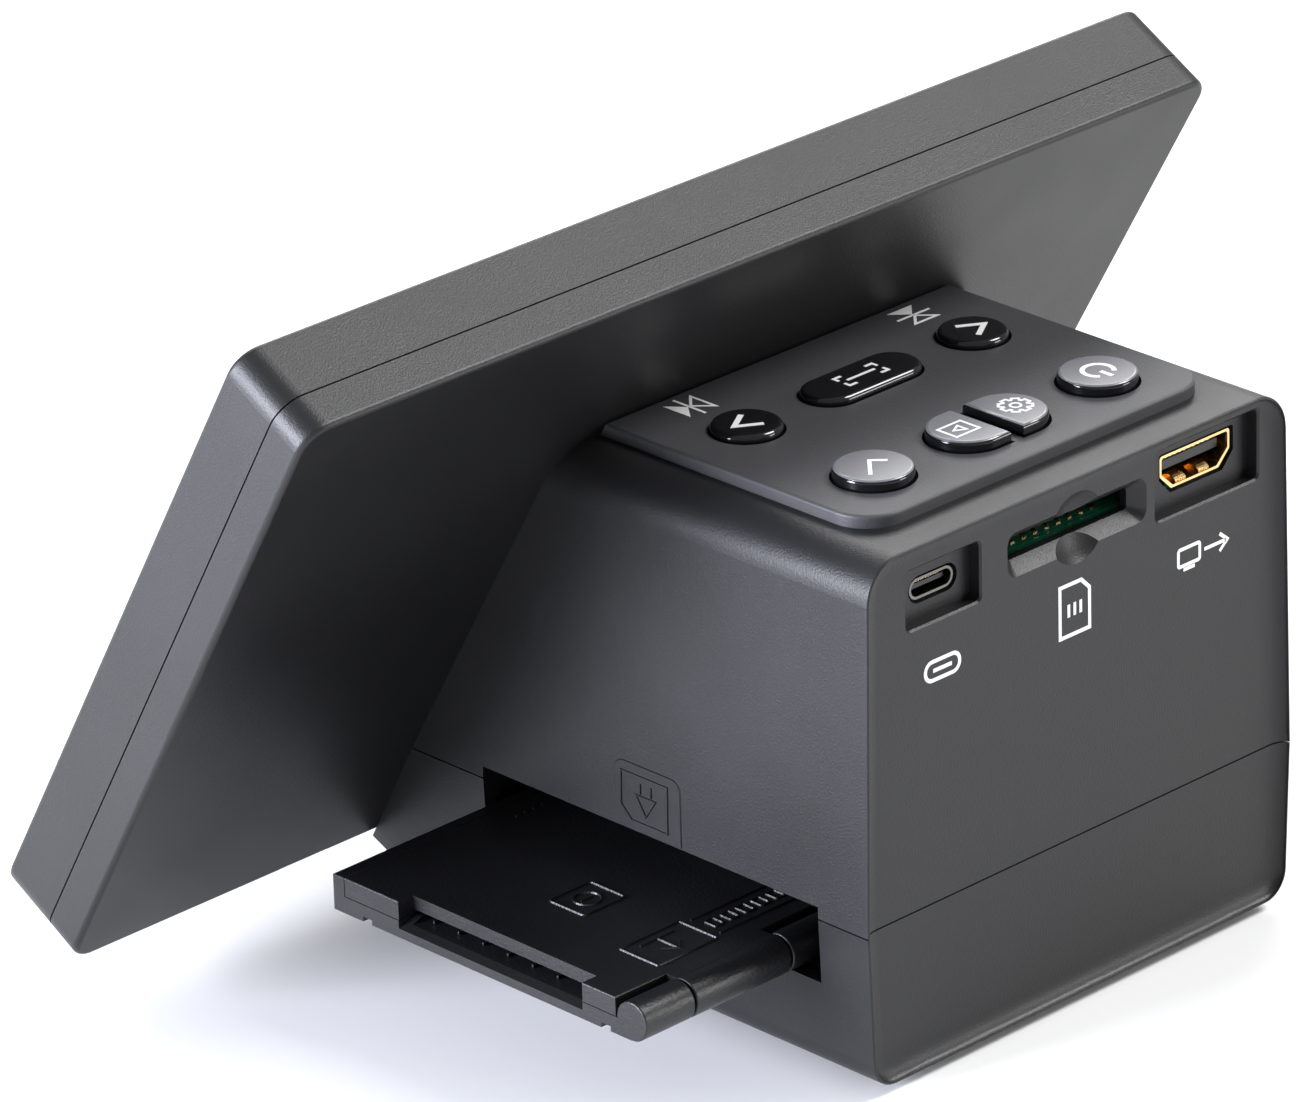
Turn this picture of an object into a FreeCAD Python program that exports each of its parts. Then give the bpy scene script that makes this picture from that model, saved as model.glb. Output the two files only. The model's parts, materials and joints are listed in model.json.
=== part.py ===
import FreeCAD, Part
import os
from math import cos, pi, radians, sin, tan

# Desktop film and slide scanner: a wedge-shaped body with a tilted screen on its front,
# a keypad on its top, sockets in its back and a film tray that slides in from its side.
# Millimetres. +Z is up, +Y points to the socket side, +X to the side the tray comes out of.
# The origin is under the optical axis, in the middle of the base, on the table.

# ---- body ----
foot_height = 1.5          # rubber showing below the base
foot_recess = 0.5          # depth of the pocket that each foot sits in
foot_radius = 6.0
foot_round = 0.5
foot_side_inset = 11.0     # foot centre, from the side of the base
foot_front_inset = 14.0    # from the front of the flat base
foot_back_inset = 17.0     # from the back rim
body_height = 82.6         # base to flat top
seam_height = 25.0         # base to the seam between the two shells
body_width = 90.0          # at the seam; the sides taper both ways from there
top_taper = 2.4            # taken off the width by the taper, over both sides
base_taper = 2.0
body_back = 46.0           # back rim, from the optical axis
base_front = 46.0          # front end of the flat base, from the optical axis
undercut_rise = 6.9        # height of the bevel under the front
undercut_run = 14.3
top_depth = 62.0           # flat top, from the back rim to the screen
top_round = 6.5
base_round = 4.5
wall = 2.2
seam_gap = 0.25
lip_height = 1.5
lip_thickness = 1.0
lip_clearance = 0.12
lip_root = 4.0             # of the lip's inner wall, below the seam
dish_depth = 1.5           # hollow of the back face inside its rim
dish_margin = 3.2
dish_edge = 0.35
rim_round = 0.3            # outer edge of the back rim

# ---- screen ----
screen_tilt = 30.0         # from vertical, degrees
screen_width = 184.8
screen_length = 116.7
screen_offset = 13.0       # screen centre, from the body centre, towards the tray side
screen_foot_rise = 7.78    # lower edge of the screen, above the base of the body
rear_thickness = 6.2
bezel_thickness = 10.5
screen_corner = 4.4
rear_round = 0.9
bezel_round = 0.8
screen_wall = 2.0
bezel_rim = 4.2            # width of the frame round the glass
glass_thickness = 1.1
glass_clearance = 0.15
bezel_front_wall = 1.5
lcd_side_margin = 8.9      # from the edge of the screen case to the display
lcd_end_margin = 7.3
lcd_thickness = 5.0
view_side_margin = 5.0     # from the edge of the display to the window over it
view_end_margin = 6.5
lcd_clearance = 0.3
lcd_frame_wall = 1.2       # of the frame moulded round the display
pry_slot_length = 10.0     # shallow notch for opening the case, in the lower edge
pry_slot_depth = 0.7
pry_slot_offset = 46.0

# ---- keypad ----
plate_side_gap = 7.8       # from the side of the body's top to the plate
plate_thickness = 2.0
plate_back_gap = 7.3       # from the back rim to the plate
plate_corner = 6.5
plate_edge = 0.5
plate_screen_gap = 0.3
key_clearance = 0.4
key_flange = 0.9
key_flange_thickness = 0.8
key_flange_gap = 0.1
key_travel = 0.6
flange_clearance = 0.4
nav_hole = 11.6            # diameters and sizes of the openings in the plate
large_hole = 12.8
scan_hole_length = 22.5
scan_hole_width = 9.8
pair_hole_length = 21.4
pair_hole_width = 13.0
pair_web = 1.8
nav_x = 23.6
large_x = 23.4
front_row_y = 2.0
back_row_y = 27.4
low_key_rise = 1.2         # how far a key stands above the plate
high_key_rise = 1.7
low_key_round = 0.8
high_key_round = 0.6
switch_side = 6.0
switch_height = 3.1
plunger_radius = 1.7
plunger_height = 0.3
plunger_gap = 0.15         # left under a key that is pressed all the way

# ---- boards and sockets ----
board_thickness = 1.6
board_drop = 10.7          # from the top of the body to the face of the main board
board_screw_gap = 0.4      # from the side of the video socket to the screw post beside it
board_front = -15.0
board_front_screw = 6.0    # screw centre, from the front edge of the board
board_back_screw = 4.7
board_wall_gap = 0.4
keypad_board_thickness = 1.2
keypad_board_half_x = 32.0
keypad_board_margin = 6.0  # beyond the middle of the front row of keys
keypad_board_back_margin = 4.0
keypad_screw_outer_x = 29.0
keypad_screw_inner_x = 13.0
board_screw_inset = 1.8    # from the side of the main board
board_screw_radius = 0.95
board_hole_radius = 1.3    # in the main board
board_head_radius = 2.2
board_head_height = 1.4
keypad_screw_radius = 0.65
keypad_hole_radius = 0.9
keypad_head_radius = 1.5
keypad_head_height = 1.0
screw_hole_gap = 0.05      # between a screw's thread and its hole in plastic
board_post_radius = 2.0
keypad_post_radius = 1.8
recess_depth = 2.2         # of a socket pocket, below the dished face
recess_floor = 1.2
pocket_edge = 0.3          # slope round the mouth of a socket pocket
pocket_corner = 0.8
data_x = 27.0
data_recess_width = 15.1
data_recess_low = 2.9       # pocket floor, below the face of the main board
data_recess_high = 6.3      # pocket roof, above it
data_shell_width = 8.94
data_shell_height = 3.26
data_shell_depth = 7.3
data_tongue_width = 6.7
data_tongue_thickness = 0.7
data_tongue_setback = 0.9   # of the tongue behind the face of its socket
data_back_wall = 0.6
video_x = -28.3
video_recess_width = 22.0
video_recess_low = 2.9
video_recess_high = 8.1
video_shell_width = 15.0
video_shell_height = 5.6
video_shell_depth = 9.8
video_tongue_inset = 1.4    # from the side of the shell to the tongue
video_tongue_thickness = 1.4
video_tongue_setback = 1.2
video_tongue_drop = 1.1     # below the inside of the shell's roof
video_back_wall = 0.8
video_taper = 2.4
socket_wall = 0.4
socket_setback = 0.3       # of a socket's face behind the floor of its pocket
socket_hole_gap = 0.5
card_x = -0.7
card_slot_width = 25.0
card_slot_height = 3.4
card_flare = 2.1
card_flare_height = 1.8
card_socket_width = 28.0
card_socket_height = 2.9
card_socket_depth = 26.0
card_socket_setback = 4.6
card_way_half = 12.3       # half width of the way for the card inside its socket
card_way_floor = 0.25
card_way_roof = 0.3
scoop_radius = 5.6
scoop_depth = 2.4

# ---- film tray ----
slot_front = -33.8
slot_back = 36.0
slot_low = 14.6            # above the base
slot_high = 26.8
tray_front = -33.2
tray_edge = 26.0           # edge of the tray plates beside the hinge
tray_out = 76.0            # how far the tray shows past the body centre when it is in
tray_length = 118.0
tray_gap = 0.2
frame_thickness = 2.7
lid_thickness = 3.0
lid_gap = 0.1
frame_wall = 2.3
tray_edge_round = 0.25     # top edges of the lid and of the frame's raised side
film_width = 35.6
film_channel = 0.7
feed_width = 38.5
feed_setback = 2.9
feed_drop = 1.3
lid_end_gap = 0.6          # from the inner end of the frame to the lid
lid_flush_gap = 0.05       # from its outer end
gate_length = 36.4
gate_width = 24.4
spacer_half = 2.0          # pads that hold the lid off the film channel
spacer_end_inset = 12.0
spacer_front_inset = 7.0
spacer_back_inset = 5.0
feed_ramp = 3.2            # lead-in for the film in the lower plate
lid_ramp = 2.0             # and in the lid
lid_ramp_rise = 0.9
hinge_y = 29.3
hinge_radius = 3.05
knuckle_round = 0.25
pin_radius = 0.8
pin_clearance = 0.06
knuckle_gap = 0.4
lid_web_rise = 0.6         # of the lid's hinge webs above its underside
pin_end_inset = 0.6
knuckle_lengths = (9.8, 19.0, 26.4, 26.4, 19.0)
groove_width = 1.9
groove_depth = 0.8
groove_inset = 7.2         # from the edges of the tray to the two guide grooves
groove_back_inset = 2.0
rib_clearance = 0.2

# ---- optics and chassis ----
guide_floor = 1.5
guide_side_gap = 0.8       # from the body's wall to the floor of the guide
guide_wall_inset = 7.0     # from the end of that floor to the guide's side walls
guide_window_x = 19.5
guide_window_y = 13.5
guide_wall = 2.0
guide_gap = 0.4
guide_wall_top = 24.5
chassis_boss_radius = 2.3
chassis_boss_inset = 4.0   # from the end of the guide's side walls
chassis_boss_sink = 0.8    # of the front bosses into the guide's side wall
chassis_head_radius = 2.2
chassis_head_height = 1.6
chassis_screw_radius = 1.2
light_box_half_x = 24.0
light_box_half_y = 18.0
light_box_wall = 1.5
diffuser_thickness = 1.1
led_board_thickness = 1.2
tower_half_x = 21.0
tower_half_y = 15.0
tower_wall = 1.5
tower_flange = 2.0
tower_top = 39.0
tower_foot_x = 26.0
collar_height = 8.0
collar_wall = 2.5
lens_radius = 8.5
lens_wall = 2.5
lens_seat_wall = 1.3
lens_seat_depth = 2.6
lens_element_thickness = 1.7
lens_element_gap = 0.05
lens_dome_radius = 22.0
lens_bottom = 36.0
lens_top = 54.0
sensor_post_x = 17.0
sensor_post_y = 11.0
sensor_post_radius = 2.2
sensor_board_height = 58.5
sensor_board_thickness = 1.2
sensor_board_margin = 3.0  # of the sensor board beyond the middle of its posts
sensor_width = 10.0
sensor_length = 8.0
sensor_thickness = 1.3
sensor_ribbon_x = 15.0
sensor_ribbon_width = 12.0
led_columns = 4
led_rows = 3
led_step_x = 10.5
led_step_y = 10.0
led_length = 3.5
led_width = 2.8
led_height = 0.8

case_boss_side_inset = 7.5 # boss centre, from the side of the base
case_boss_front_inset = 6.0
case_boss_height = 12.0    # above the seam
case_boss_radius = 3.6
case_screw_radius = 1.3
case_screw_length = 14.5
case_head_radius = 2.3
case_head_height = 1.8
case_head_drop = 6.0       # screw seat, below the seam
gusset_thickness = 1.6
screen_screw_x = 26.0
screen_screw_low = 28.1    # up the slope from the screen's lower edge
screen_screw_high = 76.1
screen_screw_boss = 3.0
screen_head_radius = 2.4
screen_board_screw_x = 34.0
screen_board_screw_low = 48.0
screen_board_screw_high = 88.0
screen_board_margin = 4.0  # of the screen board beyond the middle of its posts
screen_board_out = 3.6     # back face of the board, from the screen's rear face
screen_board_thickness = 1.2
screen_board_post = 2.2
screen_board_pilot = 0.8
screen_board_hole = 1.0
screen_board_screw_gap = 0.4   # round the bosses of the screen's screws
ribbon_thickness = 0.3
ribbon_width = 16.0
ribbon_up = 62.1           # up the slope from the screen's lower edge
ribbon_window_half = 4.0
ribbon_side_gap = 2.0

# ---- worked out from the sizes above ----
body_half_top = (body_width - top_taper) / 2
body_half_base = (body_width - base_taper) / 2
base_z = foot_height
seam_z = base_z + seam_height
top_z = base_z + body_height
tilt = radians(screen_tilt)
screen_top_y = body_back - top_depth
screen_foot_z = base_z + screen_foot_rise
screen_foot_y = screen_top_y - (top_z - screen_foot_z) * tan(tilt)
dish_y = body_back - dish_depth
back_inner_y = dish_y - wall
recess_y = dish_y - recess_depth
recess_inner_y = recess_y - recess_floor
socket_face_y = recess_y - socket_setback
board_top_z = top_z - board_drop
board_screw_x = abs(video_x) + video_shell_width / 2 + board_screw_gap + board_post_radius
board_half_x = board_screw_x + board_screw_inset
board_low_z = board_top_z - board_thickness
board_back_y = recess_inner_y - board_wall_gap
plate_top_z = top_z + plate_thickness
flange_top_z = top_z - key_flange_gap
flange_low_z = flange_top_z - key_flange_thickness
switch_top_z = flange_low_z - key_travel - plunger_gap
keypad_board_top_z = switch_top_z - plunger_height - switch_height
plate_half_x = body_half_top - plate_side_gap
keypad_board_front = front_row_y - keypad_board_margin
keypad_board_back = back_row_y + keypad_board_back_margin
case_boss_x = body_half_base - case_boss_side_inset
lcd_width = screen_width - 2 * lcd_side_margin
lcd_length = screen_length - 2 * lcd_end_margin
view_width = lcd_width - 2 * view_side_margin
view_length = lcd_length - 2 * view_end_margin
guide_floor_half_x = body_half_base - wall - guide_side_gap
guide_half_x = guide_floor_half_x - guide_wall_inset
chassis_boss_x = guide_half_x - chassis_boss_inset
slot_low_z = base_z + slot_low
slot_high_z = base_z + slot_high
tray_low_z = slot_low_z + tray_gap
frame_top_z = tray_low_z + frame_thickness
lid_low_z = frame_top_z + lid_gap
lid_top_z = lid_low_z + lid_thickness
hinge_z = tray_low_z + hinge_radius - 0.05
tray_in = tray_out - tray_length
guide_top_z = base_z + guide_wall_top
tower_top_z = base_z + tower_top
far = 400.0


def vec(x, y, z):
    return FreeCAD.Vector(x, y, z)


def box(x0, x1, y0, y1, z0, z1):
    return Part.makeBox(x1 - x0, y1 - y0, z1 - z0, vec(x0, y0, z0))


def rod(radius, base, run):
    """Cylinder from a base point along the vector run."""
    return Part.makeCylinder(radius, run.Length, base, run)


def post(radius, x, y, z0, z1):
    return Part.makeCylinder(radius, z1 - z0, vec(x, y, z0))


def rounded_wire(points, radii):
    """Closed outline through the points, each corner rounded by its own radius."""
    edges = []
    corners = []
    count = len(points)
    for i, point in enumerate(points):
        to_last = (points[i - 1] - point).normalize()
        to_next = (points[(i + 1) % count] - point).normalize()
        half = to_last.getAngle(to_next) / 2
        radius = radii[i]
        if radius <= 0:
            corners.append((point, point, point))
            continue
        reach = radius / tan(half)
        centre = point + (to_last + to_next).normalize() * (radius / sin(half))
        middle = centre + (point - centre).normalize() * radius
        corners.append((point + to_last * reach, middle, point + to_next * reach))
    for i, (start, middle, end) in enumerate(corners):
        if radii[i] > 0:
            edges.append(Part.Arc(start, middle, end).toShape())
        following = corners[(i + 1) % count][0]
        if (following - end).Length > 1e-6:
            edges.append(Part.LineSegment(end, following).toShape())
    return Part.Wire(edges)


def prism(points, radii, run):
    return Part.Face(rounded_wire(points, radii)).extrude(run)


def plate(x0, x1, y0, y1, z0, z1, radius):
    """Flat plate in XY with its four corners rounded."""
    corners = [vec(x0, y0, z0), vec(x1, y0, z0), vec(x1, y1, z0), vec(x0, y1, z0)]
    return prism(corners, [radius] * 4, vec(0, 0, z1 - z0))


def stadium(x, y, length, width, z0, z1):
    """Flat plate with round ends, its long side along X."""
    return plate(x - length / 2, x + length / 2, y - width / 2, y + width / 2, z0, z1,
                 width / 2 - 0.001)


def fuse(shapes):
    result = shapes[0]
    if len(shapes) > 1:
        result = result.fuse(shapes[1:])
    return result.removeSplitter()


def round_edges(shape, radius, wanted):
    """Fillet the edges for which wanted(edge) is true."""
    edges = [edge for edge in shape.Edges if wanted(edge)]
    return shape.makeFillet(radius, edges)


def flat_at(z):
    """Picks edges that lie wholly at the height z."""
    return lambda edge: abs(edge.BoundBox.ZMin - z) < 1e-4 and abs(edge.BoundBox.ZMax - z) < 1e-4


def save(shape, name):
    shape.exportStep("parts/" + name + ".step")


# ---- shared outlines ----
def body_wire(inset, y):
    """Cross-section of the whole body in XZ at the depth y."""
    half_base = body_half_base - inset
    half_seam = body_width / 2 - inset
    half_top = body_half_top - inset
    low = base_z + inset
    high = top_z - inset
    low_round = max(base_round - inset, 0.6)
    high_round = max(top_round - inset, 0.6)
    points = [vec(-half_base, y, low), vec(half_base, y, low), vec(half_seam, y, seam_z),
              vec(half_top, y, high), vec(-half_top, y, high), vec(-half_seam, y, seam_z)]
    return rounded_wire(points, [low_round, low_round, 0, high_round, high_round, 0])


def body_prism(inset, y0, y1):
    return Part.Face(body_wire(inset, y0)).extrude(vec(0, y1 - y0, 0))


def beyond_screen_plane(gap):
    """Everything on the screen's side of the body's slanted front, moved gap towards the back."""
    block = box(-far, far, -far, far, 0, far)
    block.rotate(vec(0, 0, 0), vec(1, 0, 0), 90 - screen_tilt)
    block.translate(vec(0, screen_top_y + gap * cos(tilt), top_z - gap * sin(tilt)))
    return block


def under_front(gap):
    """The wedge cut away under the front, moved gap into the body."""
    start = vec(-far, -base_front, base_z)
    slope = vec(0, -undercut_run, undercut_rise).normalize()
    normal = vec(0, slope.z, -slope.y)
    start = start + normal * gap
    points = [start - slope * far, start + slope * far, start + slope * far - normal * far,
              start - slope * far - normal * far]
    return prism(points, [0] * 4, vec(2 * far, 0, 0))


def dish():
    """Hollow of the back face: a concave edge that runs down to a flat floor."""
    steps = 4
    wires = []
    for i in range(steps + 1):
        angle = pi / 2 * i / steps
        inset = dish_edge + (dish_margin - dish_edge) * (1 - cos(angle))
        wires.append(body_wire(inset, body_back - dish_depth * sin(angle)))
    outside = Part.Face(body_wire(dish_edge, body_back)).extrude(vec(0, 5, 0))
    return Part.makeLoft(wires, True, False).fuse(outside)


def tray_slot():
    """The opening through both sides that the film tray slides in."""
    return box(-far, far, slot_front, slot_back, slot_low_z, slot_high_z)


def case_boss_spots():
    front = case_boss_front_inset - base_front
    back = back_inner_y - case_boss_radius - 0.3
    return [(x, y) for x in (-case_boss_x, case_boss_x) for y in (front, back)]


def chassis_spots():
    front = slot_front - guide_gap - guide_wall - chassis_boss_radius + chassis_boss_sink
    back = back_inner_y - lip_clearance - lip_thickness - 0.1 - chassis_boss_radius
    return [(x, y) for x in (-chassis_boss_x, chassis_boss_x) for y in (front, back)]


# ---- keys ----
def key_outline(name, grow, z0, z1):
    """Shape of a key's opening, grown outwards by grow, between two heights."""
    if name in ("key_previous", "key_next"):
        x = nav_x if name == "key_next" else -nav_x
        return post(nav_hole / 2 + grow, x, front_row_y, z0, z1)
    if name in ("key_ok", "key_power"):
        x = large_x if name == "key_ok" else -large_x
        return post(large_hole / 2 + grow, x, back_row_y, z0, z1)
    if name == "key_scan":
        return stadium(0, front_row_y, scan_hole_length + 2 * grow, scan_hole_width + 2 * grow, z0, z1)
    side = 1 if name == "key_playback" else -1
    half = pair_hole_length / 2 + grow
    near = pair_web / 2 - grow
    width = pair_hole_width + 2 * grow
    whole = stadium(0, back_row_y, 2 * half, width, z0, z1)
    keep = box(near, far, -far, far, z0, z1)
    if side < 0:
        keep = box(-far, -near, -far, far, z0, z1)
    return whole.common(keep).Solids[0]


low_keys = ("key_previous", "key_next", "key_scan")
high_keys = ("key_ok", "key_power", "key_playback", "key_settings")
keys = low_keys + high_keys


def key_centre(name):
    centre = key_outline(name, 0, 0, 1).CenterOfMass
    return centre.x, centre.y


def make_key(name):
    """Cap that shows above the plate, with a flange that the plate holds down."""
    rise, rounding = (low_key_rise, low_key_round) if name in low_keys else (high_key_rise, high_key_round)
    top = plate_top_z + rise
    cap = key_outline(name, -key_clearance, flange_low_z, top)
    cap = round_edges(cap, rounding, flat_at(top))
    grown = key_flange if name in low_keys + ("key_ok", "key_power") else pair_web / 2 - 0.25
    flange = key_outline(name, grown - key_clearance, flange_low_z, flange_top_z)
    return fuse([cap, flange])


def key_wells():
    """Openings in the top of the body that the key flanges move in."""
    wells = []
    for name in keys:
        wells.append(key_outline(name, key_flange - key_clearance + flange_clearance,
                                 top_z - wall - 1, top_z + 1))
    return wells


def make_keypad_plate():
    back = body_back - plate_back_gap
    half = plate_half_x
    front = screen_top_y - 5
    points = [vec(-half, front, top_z), vec(half, front, top_z), vec(half, back, top_z),
              vec(-half, back, top_z)]
    shape = prism(points, [0, 0, plate_corner, plate_corner], vec(0, 0, plate_thickness))
    shape = round_edges(shape, plate_edge, flat_at(plate_top_z))
    shape = shape.cut(beyond_screen_plane(plate_screen_gap))
    return shape.cut([key_outline(name, 0, top_z - 1, plate_top_z + 1) for name in keys])


# ---- shells ----
def socket_recess(x, width, low, high):
    """Pocket with straight walls and a narrow slope round its mouth."""
    half = width / 2
    pocket = plate_y(x - half, x + half, board_top_z - low, board_top_z + high, recess_y,
                     body_back + 1, pocket_corner)
    wires = []
    for grow, y in ((0, dish_y - pocket_edge), (2 * pocket_edge, dish_y + pocket_edge)):
        wires.append(outline_y(x - half - grow, x + half + grow, board_top_z - low - grow,
                               board_top_z + high + grow, y, pocket_corner + grow))
    return fuse([pocket, Part.makeLoft(wires, True, True)])


def outline_y(x0, x1, z0, z1, y, radius):
    points = [vec(x0, y, z0), vec(x1, y, z0), vec(x1, y, z1), vec(x0, y, z1)]
    return rounded_wire(points, [radius] * 4)


def plate_y(x0, x1, z0, z1, y0, y1, radius):
    """Block along Y with the four corners of its XZ outline rounded."""
    return Part.Face(outline_y(x0, x1, z0, z1, y0, radius)).extrude(vec(0, y1 - y0, 0))


def data_outline(grow, y0, y1):
    z = board_top_z + data_shell_height / 2
    half_x = data_shell_width / 2 + grow
    half_z = data_shell_height / 2 + grow
    return plate_y(data_x - half_x, data_x + half_x, z - half_z, z + half_z, y0, y1, half_z - 0.001)


def video_outline(grow, y0, y1):
    """Wide at the top, with its two lower corners cut off."""
    half = video_shell_width / 2 + grow
    low = board_top_z - grow
    high = board_top_z + video_shell_height + grow
    knee = low + video_taper + grow * 0.4
    points = [vec(video_x - half + video_taper, y0, low), vec(video_x + half - video_taper, y0, low),
              vec(video_x + half, y0, knee), vec(video_x + half, y0, high),
              vec(video_x - half, y0, high), vec(video_x - half, y0, knee)]
    return prism(points, [0.5] * 6, vec(0, y1 - y0, 0))


def card_mouth():
    """Slot for a memory card, flared towards the outside."""
    low = board_top_z + 0.1
    high = low + card_slot_height
    half = card_slot_width / 2
    inner_y = dish_y - card_flare
    inner = rounded_wire([vec(card_x - half, inner_y, low), vec(card_x + half, inner_y, low),
                          vec(card_x + half, inner_y, high), vec(card_x - half, inner_y, high)],
                         [0.6] * 4)
    wide = half + card_flare
    tall = card_flare_height
    outer = rounded_wire([vec(card_x - wide, dish_y, low - tall), vec(card_x + wide, dish_y, low - tall),
                          vec(card_x + wide, dish_y, high + tall),
                          vec(card_x - wide, dish_y, high + tall)], [2.0] * 4)
    flare = Part.makeLoft([inner, outer], True, True)
    through = plate_y(card_x - half, card_x + half, low, high, back_inner_y - 6, inner_y + 0.01, 0.6)
    return fuse([flare, through])


def finger_scoop():
    """Round hollow beside the card slot, for a fingertip."""
    ball = (scoop_radius ** 2 + scoop_depth ** 2) / (2 * scoop_depth)
    centre_z = board_top_z + 0.1 + card_slot_height / 2
    return Part.makeSphere(ball, vec(card_x, dish_y - scoop_depth + ball, centre_z))


def socket_backing():
    """Thicker wall behind the three socket pockets."""
    side = recess_floor
    pads = []
    for x, width, low, high in ((data_x, data_recess_width, data_recess_low, data_recess_high),
                                (video_x, video_recess_width, video_recess_low, video_recess_high)):
        pads.append(box(x - width / 2 - side, x + width / 2 + side, recess_inner_y, dish_y,
                        board_top_z - low - side, board_top_z + high + 0.4))
    half = card_slot_width / 2 + card_flare + side
    pads.append(box(card_x - half, card_x + half, recess_inner_y, dish_y,
                    board_top_z - card_flare_height - side, top_z - wall + 0.1))
    return pads


def shell_blank(inner_inset):
    """Whole body, hollow, closed by a wall along the screen and by the dished back."""
    outer = body_prism(0, -far / 2, body_back)
    outer = round_edges(outer, rim_round, lambda edge: edge.BoundBox.YMin > body_back - 1e-4)
    outer = outer.cut([beyond_screen_plane(0), under_front(0)])
    inner = body_prism(inner_inset, -far / 2, back_inner_y)
    inner = inner.cut([beyond_screen_plane(inner_inset), under_front(inner_inset)])
    return outer, inner


def make_upper_shell():
    outer, inner = shell_blank(wall)
    above = box(-far, far, -far, far, seam_z, far)
    shape = outer.common(above).cut(inner)
    adds = [pad.common(outer) for pad in socket_backing()]
    for x, y in case_boss_spots():
        boss_top = seam_z + case_boss_height
        adds.append(post(case_boss_radius, x, y, seam_z, boss_top).common(outer))
        wall_x = (body_width / 2 - wall / 2) * x / abs(x)
        adds.append(box(min(x, wall_x), max(x, wall_x), y - gusset_thickness / 2,
                        y + gusset_thickness / 2, seam_z + lip_height + 0.3, boss_top).common(outer))
    for x, y in board_screw_spots():
        adds.append(post(board_post_radius, x, y, board_top_z, top_z - wall + 0.1))
    for x, y in keypad_screw_spots():
        adds.append(post(keypad_post_radius, x, y, keypad_board_top_z, top_z - wall + 0.1))
    shape = fuse([shape] + adds)
    cuts = key_wells() + [dish(), tray_slot(), card_mouth(), finger_scoop()]
    cuts.append(socket_recess(data_x, data_recess_width, data_recess_low, data_recess_high))
    cuts.append(socket_recess(video_x, video_recess_width, video_recess_low, video_recess_high))
    cuts.append(data_outline(socket_hole_gap, back_inner_y - 5, recess_y + 1))
    cuts.append(video_outline(socket_hole_gap, back_inner_y - 5, recess_y + 1))
    for x, y in case_boss_spots():
        cuts.append(post(case_screw_radius, x, y, seam_z - 1,
                         seam_z - case_head_drop + case_screw_length + 0.5))
    for x, y in board_screw_spots():
        cuts.append(post(board_screw_radius + screw_hole_gap, x, y, board_top_z - 1, board_top_z + 5))
    for x, y in keypad_screw_spots():
        cuts.append(post(keypad_screw_radius + screw_hole_gap, x, y, keypad_board_top_z - 1,
                         keypad_board_top_z + 2))
    cuts.append(tilt_up(ribbon_block(-wall - 1, screen_wall)))
    cuts += screen_screw_holes(case_screw_radius + 0.1, -0.5, wall + 0.5)
    return shape.cut(cuts)


def make_lower_shell():
    outer, inner = shell_blank(wall)
    below = box(-far, far, -far, far, -far, seam_z - seam_gap)
    shape = outer.common(below).cut(inner)
    lip_low = seam_z - lip_root
    lip_outer = body_prism(wall + lip_clearance, -far / 2, back_inner_y - lip_clearance)
    lip_outer = lip_outer.cut(beyond_screen_plane(wall + lip_clearance))
    lip_inner = body_prism(wall + lip_clearance + lip_thickness, -far / 2,
                           back_inner_y - lip_clearance - lip_thickness)
    lip_inner = lip_inner.cut(beyond_screen_plane(wall + lip_clearance + lip_thickness))
    band = box(-far, far, -far, far, lip_low, seam_z + lip_height)
    lip = lip_outer.cut(lip_inner).common(band)
    ledge_outer = body_prism(wall - 0.1, -far / 2, back_inner_y + 0.1).cut(beyond_screen_plane(wall - 0.1))
    ledge = ledge_outer.cut(lip_inner).common(box(-far, far, -far, far, lip_low, seam_z - 1.0))
    adds = [lip, ledge]
    for x, y in case_boss_spots():
        adds.append(post(case_boss_radius, x, y, base_z, seam_z).common(outer))
    for x, y in chassis_spots():
        adds.append(post(chassis_boss_radius, x, y, base_z + wall - 0.1, slot_low_z - guide_floor))
    shape = fuse([shape] + adds)
    cuts = [dish(), tray_slot()]
    for x, y in case_boss_spots():
        cuts.append(post(case_screw_radius + 0.1, x, y, base_z - 1, seam_z + 1))
        cuts.append(post(case_head_radius + 0.1, x, y, base_z - 1, seam_z - case_head_drop))
        cuts.append(post(case_boss_radius + 0.15, x, y, seam_z, seam_z + lip_height + 1))
    for x, y in chassis_spots():
        cuts.append(post(chassis_screw_radius, x, y, base_z + wall + 1, slot_low_z))
    for x, y in foot_spots():
        cuts.append(post(foot_radius + 0.05, x, y, base_z - 1, base_z + foot_recess))
    cuts += screen_screw_holes(case_screw_radius + 0.1, -0.5, wall + 0.5)
    return shape.cut(cuts)


def foot_spots():
    x = body_half_base - foot_side_inset
    front = foot_front_inset - base_front
    back = body_back - foot_back_inset
    return [(side * x, y) for side in (-1, 1) for y in (front, back)]


def make_feet():
    feet = []
    for x, y in foot_spots():
        foot = post(foot_radius, x, y, 0, base_z + foot_recess)
        feet.append(round_edges(foot, foot_round, flat_at(0)))
    return Part.makeCompound(feet)


# ---- screen, modelled flat: X across, Y up the slope, Z out of the glass ----
def tilt_up(shape):
    shape.rotate(vec(0, 0, 0), vec(1, 0, 0), 90 - screen_tilt)
    shape.translate(vec(screen_offset, screen_foot_y, screen_foot_z))
    return shape


def screen_point(x, up, out):
    """Body coordinates of a point given in the screen's own directions."""
    return vec(screen_offset + x, screen_foot_y + up * sin(tilt) - out * cos(tilt),
               screen_foot_z + up * cos(tilt) + out * sin(tilt))


def screen_block(inset, z0, z1, radius):
    half = screen_width / 2 - inset
    return plate(-half, half, inset, screen_length - inset, z0, z1, radius)


def screen_screw_spots():
    return [(x - screen_offset, up) for x in (-screen_screw_x, screen_screw_x)
            for up in (screen_screw_low, screen_screw_high)]


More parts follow.
